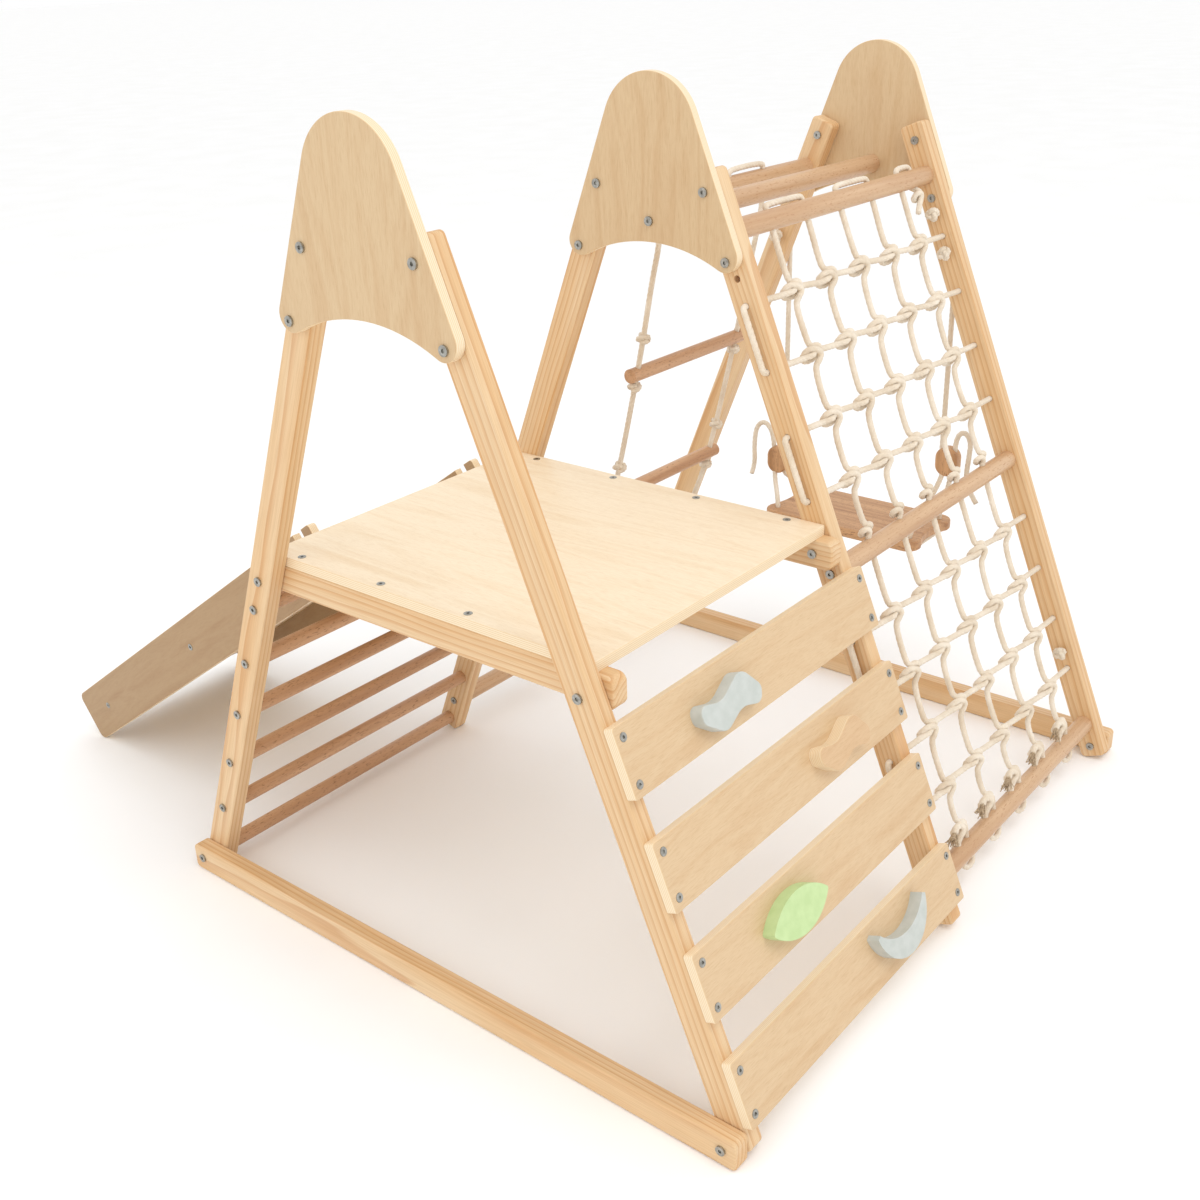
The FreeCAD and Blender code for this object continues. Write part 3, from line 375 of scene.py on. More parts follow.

# %% [markdown]
# ## Free ropes: the swing
# Each side has a rope that comes through the leg and hangs to a wooden toggle, a bridle from the
# toggle through the seat and back, and a loose tail. The hanging rope crosses the swing's joint,
# so it is attached to neither body.

# %% Swing ropes
PIVOT_Z = 0.840
seat_middle = middle("swing_seat")
swing_x = seat_middle.x
seat_low, seat_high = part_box("swing_seat")
SEAT_HOLE = (62 * MM, 148 * MM)
SOCKET = 12 * MM
TOGGLE_HOLE = 6.2 * MM
TAILS = {
    "left": ((12, 14), (13, 50), (34, 76), (56, 62), (61, 20), (58, -22), (66, -44)),
    "right": ((12, 14), (12, 48), (28, 64), (43, 47), (41, 12), (38, -22), (46, -50), (63, -73)),
}
swing_knots = []
for side, word in ((-1, "left"), (1, "right")):
    toggle_low, toggle_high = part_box(f"swing_toggle_{word}")
    toggle = (toggle_low + toggle_high) / 2
    hole = middle(f"swing_rope_{word}")
    anchor_low, anchor_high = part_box(f"swing_anchor_{word}")
    hole_z = anchor_high.z - KNOT_R
    y = hole.y
    knot_x = anchor_high.x - KNOT_R
    swing_knots.append(Vector((knot_x, y, hole_z)))
    hang = [Vector((knot_x, y, hole_z)), Vector((face_3[0].x + 14 * MM, y, hole_z)),
            Vector((face_3[0].x, y, hole_z)), Vector((swing_x, y, hole_z)),
            Vector((swing_x, y, hole_z - 38 * MM)), Vector((swing_x, y, PIVOT_Z)),
            Vector((swing_x, y, toggle_high.z - SOCKET - 6 * MM))]
    rope = lay_rope(f"swing_line_{word}", [hang])
    line, length = route_line(route_curve("hang", hang))
    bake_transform(rope)
    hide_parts(f"swing_rope_{word}", f"swing_anchor_{word}")
    print(rope.name, "is", round(length, 3), "m")

    legs = []
    for s in (1, -1):
        x = swing_x + s * SEAT_HOLE[0]
        seat_y = seat_middle.y + side * SEAT_HOLE[1]
        hole_y = toggle.y - s * TOGGLE_HOLE
        legs.append([Vector((swing_x + s * 5 * MM, hole_y, toggle_low.z + SOCKET + 2 * MM)),
                     Vector((swing_x + s * 6 * MM, hole_y, toggle_low.z - 9 * MM)),
                     Vector((x, seat_y, seat_high.z + 16 * MM)),
                     Vector((x, seat_y, seat_low.z + 1 * MM)),
                     Vector((x, seat_y, seat_low.z - 7 * MM)),
                     Vector((x - s * 9 * MM, seat_y, seat_low.z - 7 * MM))])
    bridle = legs[0] + legs[1][::-1]
    piece = lay_rope(f"swing_bridle_{word}_rope", [bridle])
    line, length = route_line(route_curve("bridle", bridle))
    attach(piece, "swing")
    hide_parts(f"swing_bridle_{word}")
    print(piece.name, "is", round(length, 3), "m")

    tail = [Vector((swing_x, toggle.y + side * o * MM, toggle.z + rise * MM)) for o, rise in TAILS[word]]
    piece = lay_rope(f"swing_tail_{word}_rope", [tail])
    line, length = route_line(route_curve("tail", tail))
    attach(piece, "swing")
    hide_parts(f"swing_tail_{word}")
    print(piece.name, "is", round(length, 3), "m")

# %% [markdown]
# ## The cargo net
# The uprights go through the bar and both dowels; each pair is one rope that loops over the bar.
# One long rope is laced to and fro through the legs and through every knot.

# %% Net uprights
NET_SPACING = 101.5 * MM
NET_PITCH = 99.5 * MM
FIRST_ROW = 108.5 * MM          # below the bar
LAST_ROW = 113.8 * MM           # above the foot dowel
net_x = [mid_x + NET_SPACING * (2 - i) for i in range(5)]
net_length = (foot["net"] - bar["net"]).length
rows = [FIRST_ROW + i * NET_PITCH for i in range(4)]
rows += [net_length - LAST_ROW - (3 - i) * NET_PITCH for i in range(4)]
dowel_at = (middle_dowel - bar["net"]).length


def net_point(x, distance):
    """A point of the net: X, and the distance below the bar along the slope."""
    spot = bar["net"] + down * distance
    return Vector((x, spot.y, spot.z))


def beside(x, distance, *steps):
    """Points stepped from a point of the net, in mm: towards frame 3, up the slope and outwards."""
    return [net_point(x, distance) + (Vector((-a, 0, 0)) - down * b + out * c) * MM for a, b, c in steps]


# an overhand knot round the cross rope, from above to below
ROW_KNOT = ((-2, 21, 0), (-4, 11, 6), (9, 11, 12), (19, 0, 5), (12, -11, -8), (-7, -9, -12),
            (-18, 0, -5), (-14, 8, 7), (-2, 7, 13), (11, -3, 12), (6, -12, 7), (0, -22, 0))
# a thicker one, whose rope goes down through one hole of the foot dowel and up through the other
FOOT_KNOT = ((-1, 20, 0), (-2, 12, 5), (9, 9, 9), (15, 0, 2), (6, -8, -8), (-8, -6, -8), (-15, 2, 0),
             (-7, 11, 7), (7, 6, 10), (13, -6, 6), (16, -18, 0), (16, -38, 0), (16, -66, 0), (-16, -66, 0),
             (-16, -38, 0), (-16, -18, 1), (-9, -8, 7), (1, 0, 12), (-7, 9, 10), (-18, 10, 9), (-28, 5, 10))
# a stop knot, and the straight rope below it
STOP_KNOT = ((0, 16, 0), (-1, 8, 4), (8, 7, 7), (13, 0, 1), (5, -7, -7), (-7, -5, -7), (-12, 1, 0),
             (-4, 3, 7), (3, -5, 5), (0, -12, 0), (0, -30, 0))
FOOT_KNOT_UP = 38 * MM


def wobbled(steps, amount=1.2):
    """The same knot, tied by hand: each step moved a little."""
    return [tuple(v + random.uniform(-amount, amount) for v in step) for step in steps]


def upright(x):
    """One upright from the bar down to its frayed end."""
    points = beside(x, 0, (0, -14, 0), (0, -24, 0))
    for distance in rows[:4]:
        points += beside(x, distance, *wobbled(ROW_KNOT))
    points += beside(x, dowel_at - DOWEL_R - KNOT_R, *STOP_KNOT)
    for distance in rows[4:]:
        points += beside(x, distance, *wobbled(ROW_KNOT))
    return points + beside(x, net_length - FOOT_KNOT_UP, *wobbled(FOOT_KNOT, 0.6))


random.seed(11)
LOOP_LEFT = ((0, 14, 0), (1, 21, 0), (14, 22.5, 0))
LOOP_RIGHT = ((-14, 22.5, 0), (-1, 21, 0), (0, 14, 0))
LAST_LOOP = 45 * MM
uprights = []
for first in (0, 2):
    left, right = net_x[first], net_x[first + 1]
    uprights.append(upright(left)[::-1] + beside(left, 0, *LOOP_LEFT) + beside(right, 0, *LOOP_RIGHT)
                    + upright(right))
last = net_x[4]
# the last upright's other end: down behind the bar, a knot, and a short tail
LAST_END = ((0, -14, 0), (0, -17, 0), (5, -24, 6), (12, -30, 0), (3, -37, -7), (-9, -32, -3),
            (-6, -25, 6), (3, -26, 9), (4, -36, 5), (-2, -44, 2), (-14, -58, 2))
uprights.append(upright(last)[::-1] + beside(last, 0, *LOOP_LEFT)
                + beside(last - LAST_LOOP, 0, *LOOP_RIGHT, *LAST_END))
net = lay_rope("net_uprights", uprights)
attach(net, "frame")
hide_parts("net_rope_1_2", "net_rope_3_4", "net_rope_5")
print("net uprights:", len(net.data.polygons), "faces")

# %% Net cross rope
LOCK_ABOVE = 41 * MM            # the end holes lie this far above the first and the last row
LOCK_BELOW = 34 * MM
front = face_2[1].x + 8 * MM
behind = face_3[0].x - 8 * MM
knot_x = face_3[1].x + KNOT_R
THROUGH = ((-22, -3, 2), (-9, -2, 9), (2, 1, 7), (10, 4, -2), (22, 2, -1))


def lace(row, from_front):
    """One run of the cross rope through both legs and the five knots of a row."""
    points = [net_point(front, row), net_point(face_2[1].x - 2 * MM, row),
              net_point(face_2[0].x - 4 * MM, row)]
    for x in net_x:
        points += beside(x, row, *wobbled(THROUGH, 0.8))
    points += [net_point(face_3[1].x + 4 * MM, row), net_point(face_3[0].x + 2 * MM, row),
               net_point(behind, row)]
    return points if from_front else points[::-1]


cross = [net_point(knot_x, rows[0] - LOCK_ABOVE), net_point(face_3[0].x + 4 * MM, rows[0] - LOCK_ABOVE),
         net_point(behind, rows[0] - LOCK_ABOVE)]
for number, row in enumerate(rows):
    cross += lace(row, from_front=number % 2 == 1)
cross += [net_point(behind, rows[-1] - LOCK_BELOW),
          net_point(face_3[0].x + 4 * MM, rows[-1] - LOCK_BELOW),
          net_point(knot_x, rows[-1] - LOCK_BELOW)]
cross_rope = lay_rope("net_cross", [cross], turn=6 * MM)
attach(cross_rope, "frame")
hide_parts("net_cross_rope")
print("cross rope:", len(cross_rope.data.polygons), "faces")

# %% [markdown]
# ## Knots
# A tight overhand knot is close to a trefoil: a closed curve that winds three times round a ring
# while it goes round it twice. One knot is laid as rope, and a Geometry Nodes tree puts a copy at
# each place, lined up with its rope and spun at random.


# %% One knot
def knot_mesh():
    points = []
    steps = 60
    for i in range(steps + 1):
        t = math.tau * i / steps
        ring = 5.9 * MM + 3.1 * MM * math.cos(3 * t)
        rise = 4.4 * MM * math.sin(3 * t)
        points.append(Vector((ring * math.cos(2 * t), ring * math.sin(2 * t), rise)))
    values = {rope_inputs["Material"]: cotton, rope_inputs["Radius"]: 4.9 * MM,
              rope_inputs["Lay length"]: 26 * MM, rope_inputs["Step"]: 3.6 * MM}
    return with_tree("knot", route_curve("knot_route", points), rope_tree, values)


knot_object = bpy.data.objects.new("one_knot", knot_mesh())
bpy.context.collection.objects.link(knot_object)
knot_object.hide_render = True
print("one knot has", len(knot_object.data.polygons), "faces")

# %% The knot tree
knot_tree = bpy.data.node_groups.new("tie the knots", "GeometryNodeTree")
knot_tree.interface.new_socket("Places", in_out="INPUT", socket_type="NodeSocketGeometry")
knot_inputs = {
    "Knot": new_input(knot_tree, "Knot", "NodeSocketObject", None),
    "Seed": new_input(knot_tree, "Seed", "NodeSocketInt", 7),
    "Material": new_input(knot_tree, "Material", "NodeSocketMaterial", None),
}
knot_tree.interface.new_socket("Knots", in_out="OUTPUT", socket_type="NodeSocketGeometry")


def build_knot_tree(tree):
    given = add(tree, "NodeGroupInput").outputs
    shape = add(tree, "GeometryNodeObjectInfo", {"Object": given["Knot"]})
    way = add(tree, "GeometryNodeInputNamedAttribute", {"Name": "way"}, data_type="FLOAT_VECTOR")
    aligned = add(tree, "FunctionNodeAlignRotationToVector", {"Vector": way.outputs[0]}, axis="Z")
    spin = add(tree, "FunctionNodeRandomValue", {2: 0.0, 3: math.tau, "Seed": given["Seed"]})
    twist = add(tree, "FunctionNodeAxisAngleToRotation", {"Axis": (0, 0, 1), "Angle": spin.outputs[1]})
    turned = add(tree, "FunctionNodeRotateRotation",
                 {0: aligned.outputs[0], 1: twist.outputs[0]}, rotation_space="LOCAL")
    placed = add(tree, "GeometryNodeInstanceOnPoints",
                 {"Points": given["Places"], "Instance": shape.outputs["Geometry"],
                  "Rotation": turned.outputs[0]})
    real = add(tree, "GeometryNodeRealizeInstances", {0: placed.outputs[0]})
    skin = add(tree, "GeometryNodeSetMaterial", {0: real.outputs[0], "Material": given["Material"]})
    add(tree, "NodeGroupOutput", {0: skin.outputs[0]})


build_knot_tree(knot_tree)


def tie_knots(name, places, body, *nodes):
    """Knots at (point, direction of the rope) places, as one piece."""
    data = bpy.data.meshes.new(name + "_places")
    data.from_pydata([point for point, _ in places], [], [])
    ways = data.attributes.new("way", "FLOAT_VECTOR", "POINT")
    for i, (_, way) in enumerate(places):
        ways.data[i].vector = way
    values = {knot_inputs["Knot"]: knot_object, knot_inputs["Material"]: cotton}
    piece = bpy.data.objects.new(name, with_tree(name, data, knot_tree, values))
    bpy.context.collection.objects.link(piece)
    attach(piece, body)
    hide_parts(*nodes)
    print(piece.name, len(places), "knots,", len(piece.data.polygons), "faces")
    return piece


# %% Knots of the net
lock_knots = [(cross[0], Vector((1, 0, 0))), (cross[-1], Vector((1, 0, 0)))]
tie_knots("lock_knots", lock_knots, "frame", "net_cross_rope")

# %% Knots of the rope ladder and the swing
ladder_knots = []
for word, line in ladder_ropes.items():
    for i in (1, 2, 3):
        centre = middle(f"rope_ladder_rung_{i}")
        nearest = min(range(1, len(line) - 1), key=lambda k: abs(line[k].z - centre.z))
        way = (line[nearest + 1] - line[nearest - 1]).normalized()
        for drop in (-LADDER_KNOT_UP, RUNG_R + KNOT_R):
            ladder_knots.append((line[nearest] + way * drop, way))
    ladder_knots.append((line[0], Vector((0, 0, 1))))
    ladder_knots.append((line[-1], (line[-1] - line[-2]).normalized()))
tie_knots("ladder_knots", ladder_knots, "frame", "rope_ladder_rope_near", "rope_ladder_rope_far")
tie_knots("swing_knots", [(spot, Vector((1, 0, 0))) for spot in swing_knots], "frame",
          "swing_anchor_left", "swing_anchor_right")
bpy.data.objects.remove(knot_object)

# %% [markdown]
# ## Frayed ends
# A cut cotton rope opens into a brush of yarns. Each brush is a few dozen short curves that fan
# out from the rope's end, swept by the same tree as the rope, with a thin ring of few sides.


# %% Frayed ends
# Cut cotton rope, opened into its yarns: dead matt, and coloured a darker tan than the rope as
# painted shade, because light goes in between the yarns. The painted shade lies in patches of about 4 mm.
YARN_R = 0.9 * MM
rope_end, tree = new_material("frayed cotton")
spot = add(tree, "ShaderNodeTexCoord").outputs["Object"]
shade_and_fluff = add(tree, "ShaderNodeTexNoise", {"Vector": spot, "Scale": each(3.85), "Detail": 2.0})
# painted shade: the yarns' tan is darker than the rope's white, in patches
tone = add(tree, "ShaderNodeValToRGB", {"Fac": shade_and_fluff}, stops=[(0.3, "B59A7C"), (0.7, "DCC6A6")])
fluff = add(tree, "ShaderNodeBump", {"Height": shade_and_fluff, "Distance": 0.4 * MM, "Strength": 0.4})
shader = add(tree, "ShaderNodeBsdfPrincipled", {"Base Color": tone, "Normal": fluff, "Roughness": 0.95})
add(tree, "ShaderNodeOutputMaterial", {"Surface": shader})


def fray(name, places, count=34, reach=24 * MM):
    """Brushes of yarn at (point, direction) places, as one piece."""
    meshes = []
    for number, (start, way) in enumerate(places):
        way = way.normalized()
        data = bpy.data.curves.new(f"{name}_{number}", "CURVE")
        data.dimensions = "3D"
        for _ in range(count):
            off = Vector([random.gauss(0, 1) for _ in range(3)])
            off = (off - way * off.dot(way)).normalized() * random.uniform(0.2, 1.0)
            far = reach * random.uniform(0.6, 1.0)
            bend = Vector([random.gauss(0, 1) for _ in range(3)]) * 2 * MM
            yarn = data.splines.new("NURBS")
            yarn.points.add(3)
            yarn.points[0].co = (*(start - way * 6 * MM + off * 3 * MM), 1)
            yarn.points[1].co = (*(start + off * 4.2 * MM), 1)
            yarn.points[2].co = (*(start + way * far * 0.6 + off * 7.5 * MM), 1)
            yarn.points[3].co = (*(start + way * far + off * 10 * MM + bend), 1)
            yarn.order_u = 3
            yarn.use_endpoint_u = True
        values = {rope_inputs["Material"]: rope_end, rope_inputs["Radius"]: YARN_R,
                  rope_inputs["Sides"]: 5, rope_inputs["Step"]: 5 * MM, rope_inputs["Groove"]: 0.0}
        meshes.append(with_tree(f"{name}_{number}", data, rope_tree, values))
    piece = bpy.data.objects.new(name, join(name, meshes, rope_end))
    bpy.context.collection.objects.link(piece)
    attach(piece, "frame")
    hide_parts("net_rope_1_2", "net_rope_3_4", "net_rope_5")
    print(piece.name, len(places), "brushes,", len(piece.data.polygons), "faces")


ends = [beside(x, net_length - FOOT_KNOT_UP, *FOOT_KNOT[-2:]) for x in net_x]
fray("net_frayed_ends", [(b, b - a + Vector((0, 0, random.uniform(-3, 3) * MM))) for a, b in ends])

# %% [markdown]
# ## Pine
# The legs, rails and beams are planed pine under a clear matt varnish: pale spring wood with
# amber lines of summer wood, a few millimetres apart, running along the piece. The lines are
# rings round a far axis that lies along the grain, bent a little by noise.


# %% The grain, and its streaks
def along_grain(tree, grain):
    """Object coordinates turned so that the grain runs along X."""
    spot = add(tree, "ShaderNodeTexCoord").outputs["Object"]
    turn = Vector(grain).rotation_difference(Vector((1, 0, 0))).to_euler()
    return add(tree, "ShaderNodeMapping", {"Vector": spot, "Rotation": turn})


def streaks(tree, spot, along, across, **more):
    """Noise drawn out along the grain, from the length and width of one streak in millimetres."""
    drawn = add(tree, "ShaderNodeMapping",
                {"Vector": spot, "Scale": (each(along), each(across), each(across))})
    return add(tree, "ShaderNodeTexNoise", {"Vector": drawn, "Scale": 1.0, **more})


# %% Pine
# Scots pine, planed and varnished matt: cream spring wood, amber summer wood lines 8 mm apart where
# the face is cut flat, patches of darker wood 30 mm wide, and a hairline figure of 1 mm.
RING = 8 * MM
RING_BEND = 22 * MM


def pine(name, grain, shift=(0.0, 0.03, 0.02)):
    material, tree = new_material(name)
    spot = along_grain(tree, grain)
    drift = streaks(tree, spot, 625, 71.4, Detail=2.0)
    bend = add(tree, "ShaderNodeVectorMath", {0: drift.outputs["Color"], "Scale": RING_BEND},
               operation="SCALE")
    # the rings hardly change along a leg
    flat = add(tree, "ShaderNodeMapping", {"Vector": spot, "Scale": (0.03, 1.0, 1.0)})
    moved = add(tree, "ShaderNodeVectorMath", {0: flat, 1: bend}, operation="ADD")
    moved = add(tree, "ShaderNodeVectorMath", {0: moved, 1: shift}, operation="ADD")
    # Wave Texture draws one ring every tau / 20 units, so this scale gives the ring spacing
    rings = add(tree, "ShaderNodeTexWave",
                {"Vector": moved, "Scale": math.tau / (20 * RING), "Distortion": 3.0, "Detail": 2.0,
                 "Detail Scale": 0.5}, wave_type="RINGS", rings_direction="X", wave_profile="SAW")
    fine = streaks(tree, spot, 71.4, 1.111, Detail=3.0)
    patch = streaks(tree, spot, 500, 33.3)
    lines = add(tree, "ShaderNodeValToRGB", {"Fac": rings.outputs["Fac"]},
                stops=[(0.0, "E4C498"), (0.55, "E2BE8E"), (0.86, "CF995F"), (0.95, "C68B4F"),
                       (1.0, "E0BC8C")])
    pale = add(tree, "ShaderNodeValToRGB", {"Fac": patch}, stops=[(0.35, "DCB17F"), (0.65, "E9CFAB")])
    both = add(tree, "ShaderNodeMix", {"Factor": 0.45, 6: lines, 7: pale}, data_type="RGBA")
    hair = add(tree, "ShaderNodeValToRGB", {"Fac": fine}, stops=[(0.35, "E8E0D6"), (0.6, "FFFFFF")])
    tinted = add(tree, "ShaderNodeMix", {"Factor": 0.55, 6: both.outputs[2], 7: hair},
                 data_type="RGBA", blend_type="MULTIPLY")
    pores = add(tree, "ShaderNodeBump", {"Height": fine, "Distance": 0.25 * MM, "Strength": 0.35})
    shader = add(tree, "ShaderNodeBsdfPrincipled",
                 {"Base Color": tinted.outputs[2], "Normal": pores, "Roughness": 0.48})
    add(tree, "ShaderNodeOutputMaterial", {"Surface": shader})
    return material


pine_wall = pine("varnished pine, wall side legs", down)
pine_ladder = pine("varnished pine, ladder side legs", (0, -down.y, down.z), shift=(0.0, 0.05, -0.01))
pine_level = pine("varnished pine, rails and beams", (0, 1, 0), shift=(0.0, 0.01, 0.04))
print("three pines, one for each direction of the grain")

# %% [markdown]
# ## Birch plywood
# The caps, planks, platform and slide are cut from 15 mm birch plywood. Its faces are peeled
# veneer: a calm, pale surface with faint wavy figure. Its edges show the plies as fine stripes.
# The stripes are drawn across the sheet's own thickness, and only where the surface faces
# sideways to it.

# %% Plywood
# Birch plywood, peeled, pressed and lacquered: cream faces with figure streaks 330 by 40 mm and pores
# 14 by 0.7 mm, and edges striped by plies of 1.4 mm.
PLY_LAYER = 1.4 * MM
PALE_PLY = "F1DFC2"
DARK_PLY = "E6CBA1"


def plywood(name, square, grain, face_at, light, dark):
    """Square is the direction through the sheet, and face_at the place of its face along it."""
    material, tree = new_material(name)
    spot = along_grain(tree, grain)
    figure = streaks(tree, spot, 333, 38.5, Detail=4.0, Roughness=0.55, Distortion=1.3)
    pores = streaks(tree, spot, 14.3, 0.714, Detail=2.0)
    veneer = add(tree, "ShaderNodeValToRGB", {"Fac": figure},
                 stops=[(0.25, dark), (0.52, light), (0.8, dark)])
    flecks = add(tree, "ShaderNodeValToRGB", {"Fac": pores}, stops=[(0.3, "E6DACB"), (0.5, "FFFFFF")])
    face = add(tree, "ShaderNodeMix", {"Factor": 0.5, 6: veneer, 7: flecks},
               data_type="RGBA", blend_type="MULTIPLY")
    coords = add(tree, "ShaderNodeTexCoord").outputs
    through = Vector(square).normalized()
    depth = add(tree, "ShaderNodeVectorMath", {0: coords["Object"], 1: through}, operation="DOT_PRODUCT")
    inside = add(tree, "ShaderNodeMath", {0: depth.outputs["Value"], 1: face_at}, operation="SUBTRACT")
    layers = add(tree, "ShaderNodeMath", {0: inside, 1: PLY_LAYER}, operation="DIVIDE")
    pair = add(tree, "ShaderNodeMath", {0: layers, 1: 2.0}, operation="FLOORED_MODULO")
    share = add(tree, "ShaderNodeMath", {0: pair, 1: 0.5}, operation="MULTIPLY")
    stripes = add(tree, "ShaderNodeValToRGB", {"Fac": share},
                  stops=[(0.44, PALE_PLY), (0.5, DARK_PLY), (0.94, DARK_PLY), (1.0, PALE_PLY)])
    facing = add(tree, "ShaderNodeVectorMath", {0: coords["Normal"], 1: through}, operation="DOT_PRODUCT")
    turned = add(tree, "ShaderNodeMath", {0: facing.outputs["Value"]}, operation="ABSOLUTE")
    is_face = add(tree, "ShaderNodeMapRange", {"Value": turned, "From Min": 0.6, "From Max": 0.85})
    wood = add(tree, "ShaderNodeMix", {"Factor": is_face, 6: stripes, 7: face.outputs[2]},
               data_type="RGBA")
    grit = add(tree, "ShaderNodeBump", {"Height": pores, "Distance": 0.15 * MM, "Strength": 0.3})
    shader = add(tree, "ShaderNodeBsdfPrincipled",
                 {"Base Color": wood.outputs[2], "Normal": grit, "Roughness": 0.42})
    add(tree, "ShaderNodeOutputMaterial", {"Surface": shader})
    return material


def part_object(node):
    return bpy.data.objects[node]


def face_along(node, square):
    """How far the outermost face of a node lies along a direction."""
    way = Vector(square).normalized()
    return max(vertex.co.dot(way) for vertex in part_object(node).data.vertices)


print("plywood layer", PLY_LAYER / MM, "mm")

# %% [markdown]
# ## Beech
# Rungs, bars and dowels are turned beech: pinkish brown, with the short dark flecks that tell
# beech from birch, all running along the bar. The swing's seat and toggles are a browner wood
# with an oiled surface.


# %% Beech and oiled wood
def turned_wood(name, grain, light, dark, fleck, roughness=0.4):
    material, tree = new_material(name)
    spot = along_grain(tree, grain)
    # soft bands 450 by 17 mm, and flecks 9 by 1.4 mm
    bands = streaks(tree, spot, 455, 16.7, Detail=4.0, Roughness=0.6)
    flecks = streaks(tree, spot, 9.09, 1.43, Detail=1.0)
    body = add(tree, "ShaderNodeValToRGB", {"Fac": bands}, stops=[(0.32, dark), (0.62, light)])
    mask = add(tree, "ShaderNodeValToRGB", {"Fac": flecks}, stops=[(0.62, "000000"), (0.70, "FFFFFF")])
    spotted = add(tree, "ShaderNodeMix", {"Factor": mask, 6: body, 7: colour(fleck)}, data_type="RGBA")
    grain_bump = add(tree, "ShaderNodeBump", {"Height": bands, "Distance": 0.2 * MM, "Strength": 0.3})
    shader = add(tree, "ShaderNodeBsdfPrincipled",
                 {"Base Color": spotted.outputs[2], "Normal": grain_bump, "Roughness": roughness})
    add(tree, "ShaderNodeOutputMaterial", {"Surface": shader})
    return material


# European beech, turned and left raw or steamed: an even pinkish brown with dark flecks
beech = turned_wood("turned beech", (1, 0, 0), "D2AF8A", "BC9169", "B98A63")
red_beech = turned_wood("steamed beech rungs", (1, 0, 0), "CEA37D", "B5865E", "9C724E")
# hardwood, planed and oiled: darker and a little duller than the bars
seat_wood = turned_wood("oiled swing seat", (0, 1, 0), "D0A377", "A97A52", "8D6242", roughness=0.5)
toggle_wood = turned_wood("oiled toggles", (0, 0, 1), "CFA174", "AA7C52", "8D6242", roughness=0.5)
print("four turned and oiled woods")

# %% [markdown]
# ## Paint and zinc
# The holds are cut from plywood and painted in matt water paint, which keeps a faint trace of the
# grain. The bolts are zinc plated steel: metallic, a little cloudy.


# %% Paint
def painted(name, base, deep):
    """Water paint rolled on plywood: matt, clouded over 17 mm, with brush lines of 1.7 mm."""
    material, tree = new_material(name)
    spot = add(tree, "ShaderNodeTexCoord").outputs["Object"]
    cloud = add(tree, "ShaderNodeTexNoise", {"Vector": spot, "Scale": each(16.7), "Detail": 3.0})
    brush = streaks(tree, spot, 25, 1.667)
    tone = add(tree, "ShaderNodeValToRGB", {"Fac": cloud}, stops=[(0.35, deep), (0.65, base)])
    lines = add(tree, "ShaderNodeBump", {"Height": brush, "Distance": 0.2 * MM, "Strength": 0.3})
    shader = add(tree, "ShaderNodeBsdfPrincipled", {"Base Color": tone, "Normal": lines, "Roughness": 0.55})
    add(tree, "ShaderNodeOutputMaterial", {"Surface": shader})
    return material


grey_paint = painted("matt grey paint", "C8CCC7", "BFC4BE")
green_paint = painted("matt green paint", "C6DDA2", "BDD698")

# %% Zinc
# Steel, zinc plated and passivated: grey metal, glossy and cloudy in patches of 4.5 mm.
zinc, tree = new_material("zinc plated steel")
spot = add(tree, "ShaderNodeTexCoord").outputs["Object"]
cloud = add(tree, "ShaderNodeTexNoise", {"Vector": spot, "Scale": each(4.55), "Detail": 3.0})
tone = add(tree, "ShaderNodeValToRGB", {"Fac": cloud}, stops=[(0.3, "8E8C86"), (0.7, "B9B8B2")])
rough = add(tree, "ShaderNodeMapRange", {"Value": cloud, "To Min": 0.28, "To Max": 0.5})
shader = add(tree, "ShaderNodeBsdfPrincipled", {"Base Color": tone, "Roughness": rough, "Metallic": 1.0})
add(tree, "ShaderNodeOutputMaterial", {"Surface": shader})
print("two paints and the zinc")


# %% [markdown]
# ## Every part gets its finish
# A part from the CAD model keeps its shape, and only its material is set. Each sheet of plywood has
# its own material, because the stripes on its edge are measured from its own face, and because its
# face colour is painted light or painted shade of the same birch: pale on the lit platform top, a mid
# tone on the caps, planks and hold, and dark on the slide sides.


# %% Give each CAD part its finish
def finish(node, material):
    data = part_object(node).data
    data.materials.clear()
    data.materials.append(material)


def sheet_finish(node, name, square, grain, light, dark):
    finish(node, plywood("birch plywood " + name, square, grain, face_along(node, square), light, dark))


SIDEWAYS = (1, 0, 0)
LENGTHWAYS = (0, 1, 0)
UP = (0, 0, 1)
# The birch below is one plywood in lit and shaded copies: each sheet's face colour is painted light or
# painted shade by how its face meets the lamps, palest on the platform top and darkest on the slide sides.
for number in (1, 2, 3):
    finish(f"frame{number}_leg_wall", pine_wall)
    finish(f"frame{number}_leg_ladder", pine_ladder)
    sheet_finish(f"cap_{number}", f"cap {number}", SIDEWAYS, UP, "D4B890", "C9A67B")
for node in ("rail_1", "rail_3", "beam_1", "beam_2"):
    finish(node, pine_level)
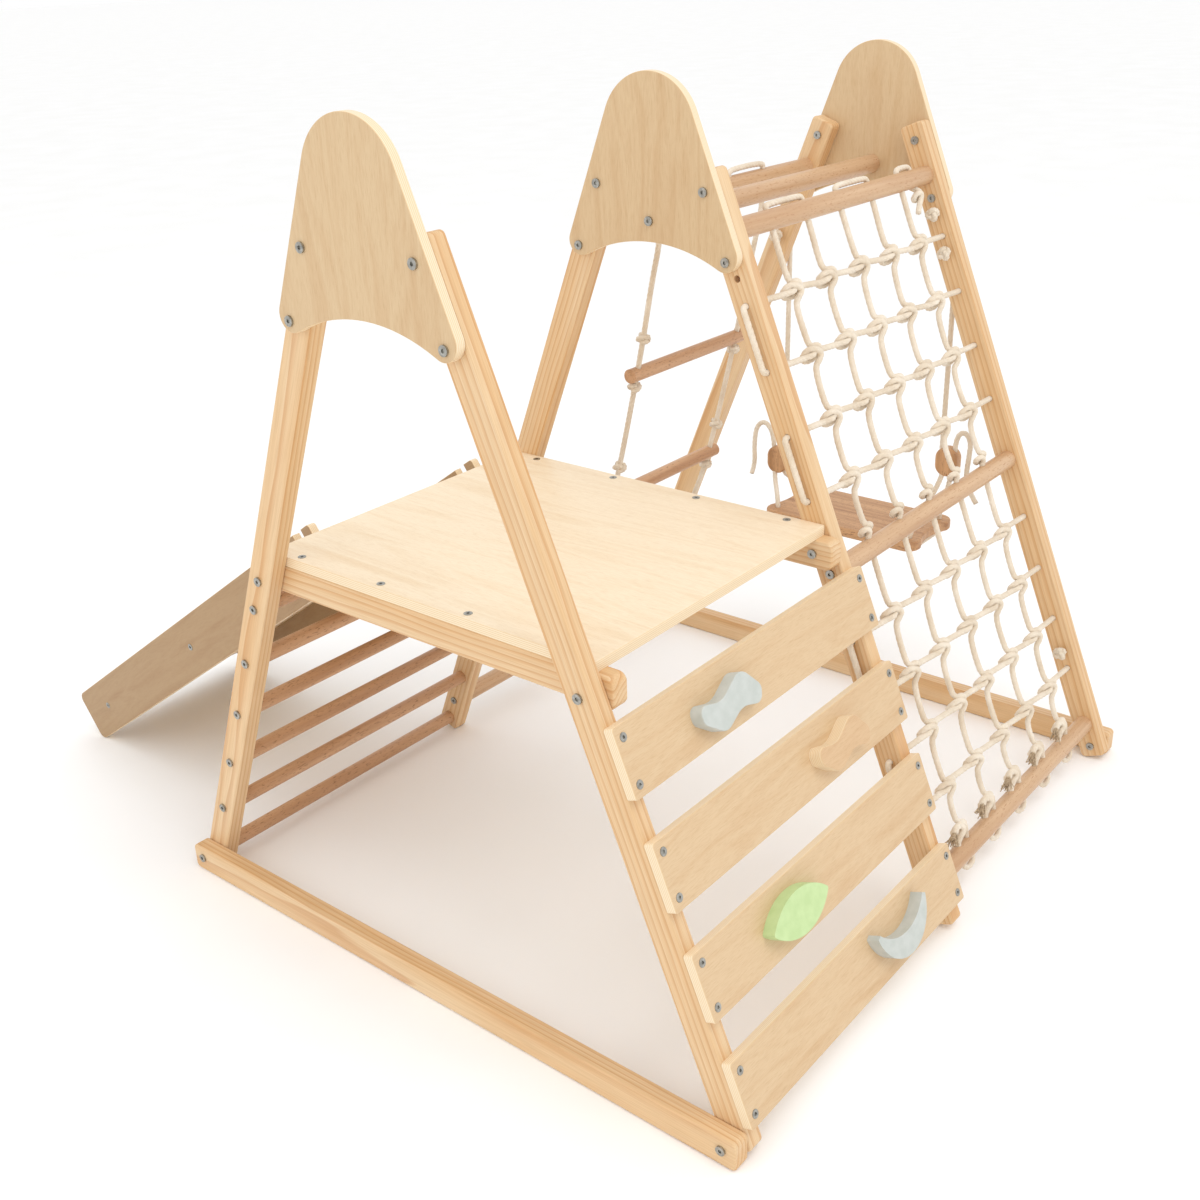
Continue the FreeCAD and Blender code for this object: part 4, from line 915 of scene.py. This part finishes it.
# painted light: the platform top is coloured the palest birch, as it faces the light from above
sheet_finish("platform_board", "platform", UP, LENGTHWAYS, "F2E0C3", "E9D1AD")
for number in (1, 2, 3, 4):
    sheet_finish(f"wall_plank_{number}", f"plank {number}", out, SIDEWAYS, "D9BC95", "CFAB80")
sheet_finish("hold_wave_plain", "hold", out, SIDEWAYS, "D7B58C", "CBA276")
finish("hold_wave_grey", grey_paint)
finish("hold_moon_grey", grey_paint)
finish("hold_leaf_green", green_paint)
for number in range(1, 7):
    finish(f"rung_{number}", red_beech)
for number in (1, 2, 3):
    finish(f"rope_ladder_rung_{number}", red_beech)
for node in ("bar_centre", "bar_ladder_side", "bar_net_side", "net_dowel_middle", "net_dowel_foot",
             "rope_ladder_dowel_foot"):
    finish(node, beech)
finish("swing_seat", seat_wood)
for word in ("left", "right"):
    finish(f"swing_toggle_{word}", toggle_wood)
for node in ("frame_bolts", "wood_screws", "slide_screws"):
    finish(node, zinc)

# %% The slide
SLIDE_SLOPE = math.radians(34.58)
down_slide = Vector((0, -math.cos(SLIDE_SLOPE), -math.sin(SLIDE_SLOPE)))
slide_face = (0, -math.sin(SLIDE_SLOPE), math.cos(SLIDE_SLOPE))
# painted shade: the slide sides are the same birch as the board, coloured much darker where their outer
# faces turn from the light
for word in ("near", "far"):
    sheet_finish(f"slide_side_{word}", f"slide side {word}", SIDEWAYS, down_slide, "AD8D65", "A27D53")
sheet_finish("slide_board", "slide board", slide_face, down_slide, "DFC59D", "D2B285")
print("every CAD part has its finish")

# %% [markdown]
# ## Floor and light
# A white floor that runs out of view, a large soft light above and behind the camera, a weaker one
# from the side, and a bright even sky.

# %% Floor
# Matt white studio paint on a smooth floor: an even white with a very faint cloud
FLOOR_REACH = 60.0
FLOOR_DROP = 0.5 * MM           # below the feet, so that no two faces share a plane
corners = [(-FLOOR_REACH, -FLOOR_REACH, 0), (FLOOR_REACH, -FLOOR_REACH, 0),
           (FLOOR_REACH, FLOOR_REACH, 0), (-FLOOR_REACH, FLOOR_REACH, 0)]
floor_data = bpy.data.meshes.new("floor")
floor_data.from_pydata(corners, [], [(0, 1, 2, 3)])
floor = bpy.data.objects.new("floor", floor_data)
bpy.context.collection.objects.link(floor)
floor.location.z = -FLOOR_DROP
floor_paint, tree = new_material("matt white studio floor")
spot = add(tree, "ShaderNodeTexCoord").outputs["Object"]
cloud = add(tree, "ShaderNodeTexNoise", {"Vector": spot, "Scale": each(333)})
tone = add(tree, "ShaderNodeValToRGB", {"Fac": cloud}, stops=[(0.3, "FCFCFB"), (0.7, "FFFFFF")])
shader = add(tree, "ShaderNodeBsdfPrincipled", {"Base Color": tone, "Roughness": 0.9})
add(tree, "ShaderNodeOutputMaterial", {"Surface": shader})
floor_data.materials.append(floor_paint)
print("floor reaches", FLOOR_REACH, "m each way")


# %% Lights
def soft_light(name, place, aim, size, power):
    data = bpy.data.lights.new(name, "AREA")
    data.shape = "DISK"
    data.size = size
    data.energy = power
    lamp = bpy.data.objects.new(name, data)
    bpy.context.collection.objects.link(lamp)
    lamp.location = place
    lamp.rotation_mode = "QUATERNION"
    lamp.rotation_quaternion = (Vector(aim) - Vector(place)).to_track_quat("-Z", "Y")


soft_light("key", place=(0.6, 2.6, 4.4), aim=(0, 0.2, 0.4), size=2.6, power=48.0)
soft_light("fill", place=(3.8, -0.6, 2.2), aim=(0, 0, 0.5), size=3.0, power=16.0)
world = bpy.data.worlds.new("studio")
world.use_nodes = True
sky = world.node_tree.nodes["Background"]
sky.inputs["Color"].default_value = (1, 1, 1, 1)
sky.inputs["Strength"].default_value = 1.0
bpy.context.scene.world = world
bpy.context.scene.view_settings.view_transform = "Standard"
print("lights and sky")
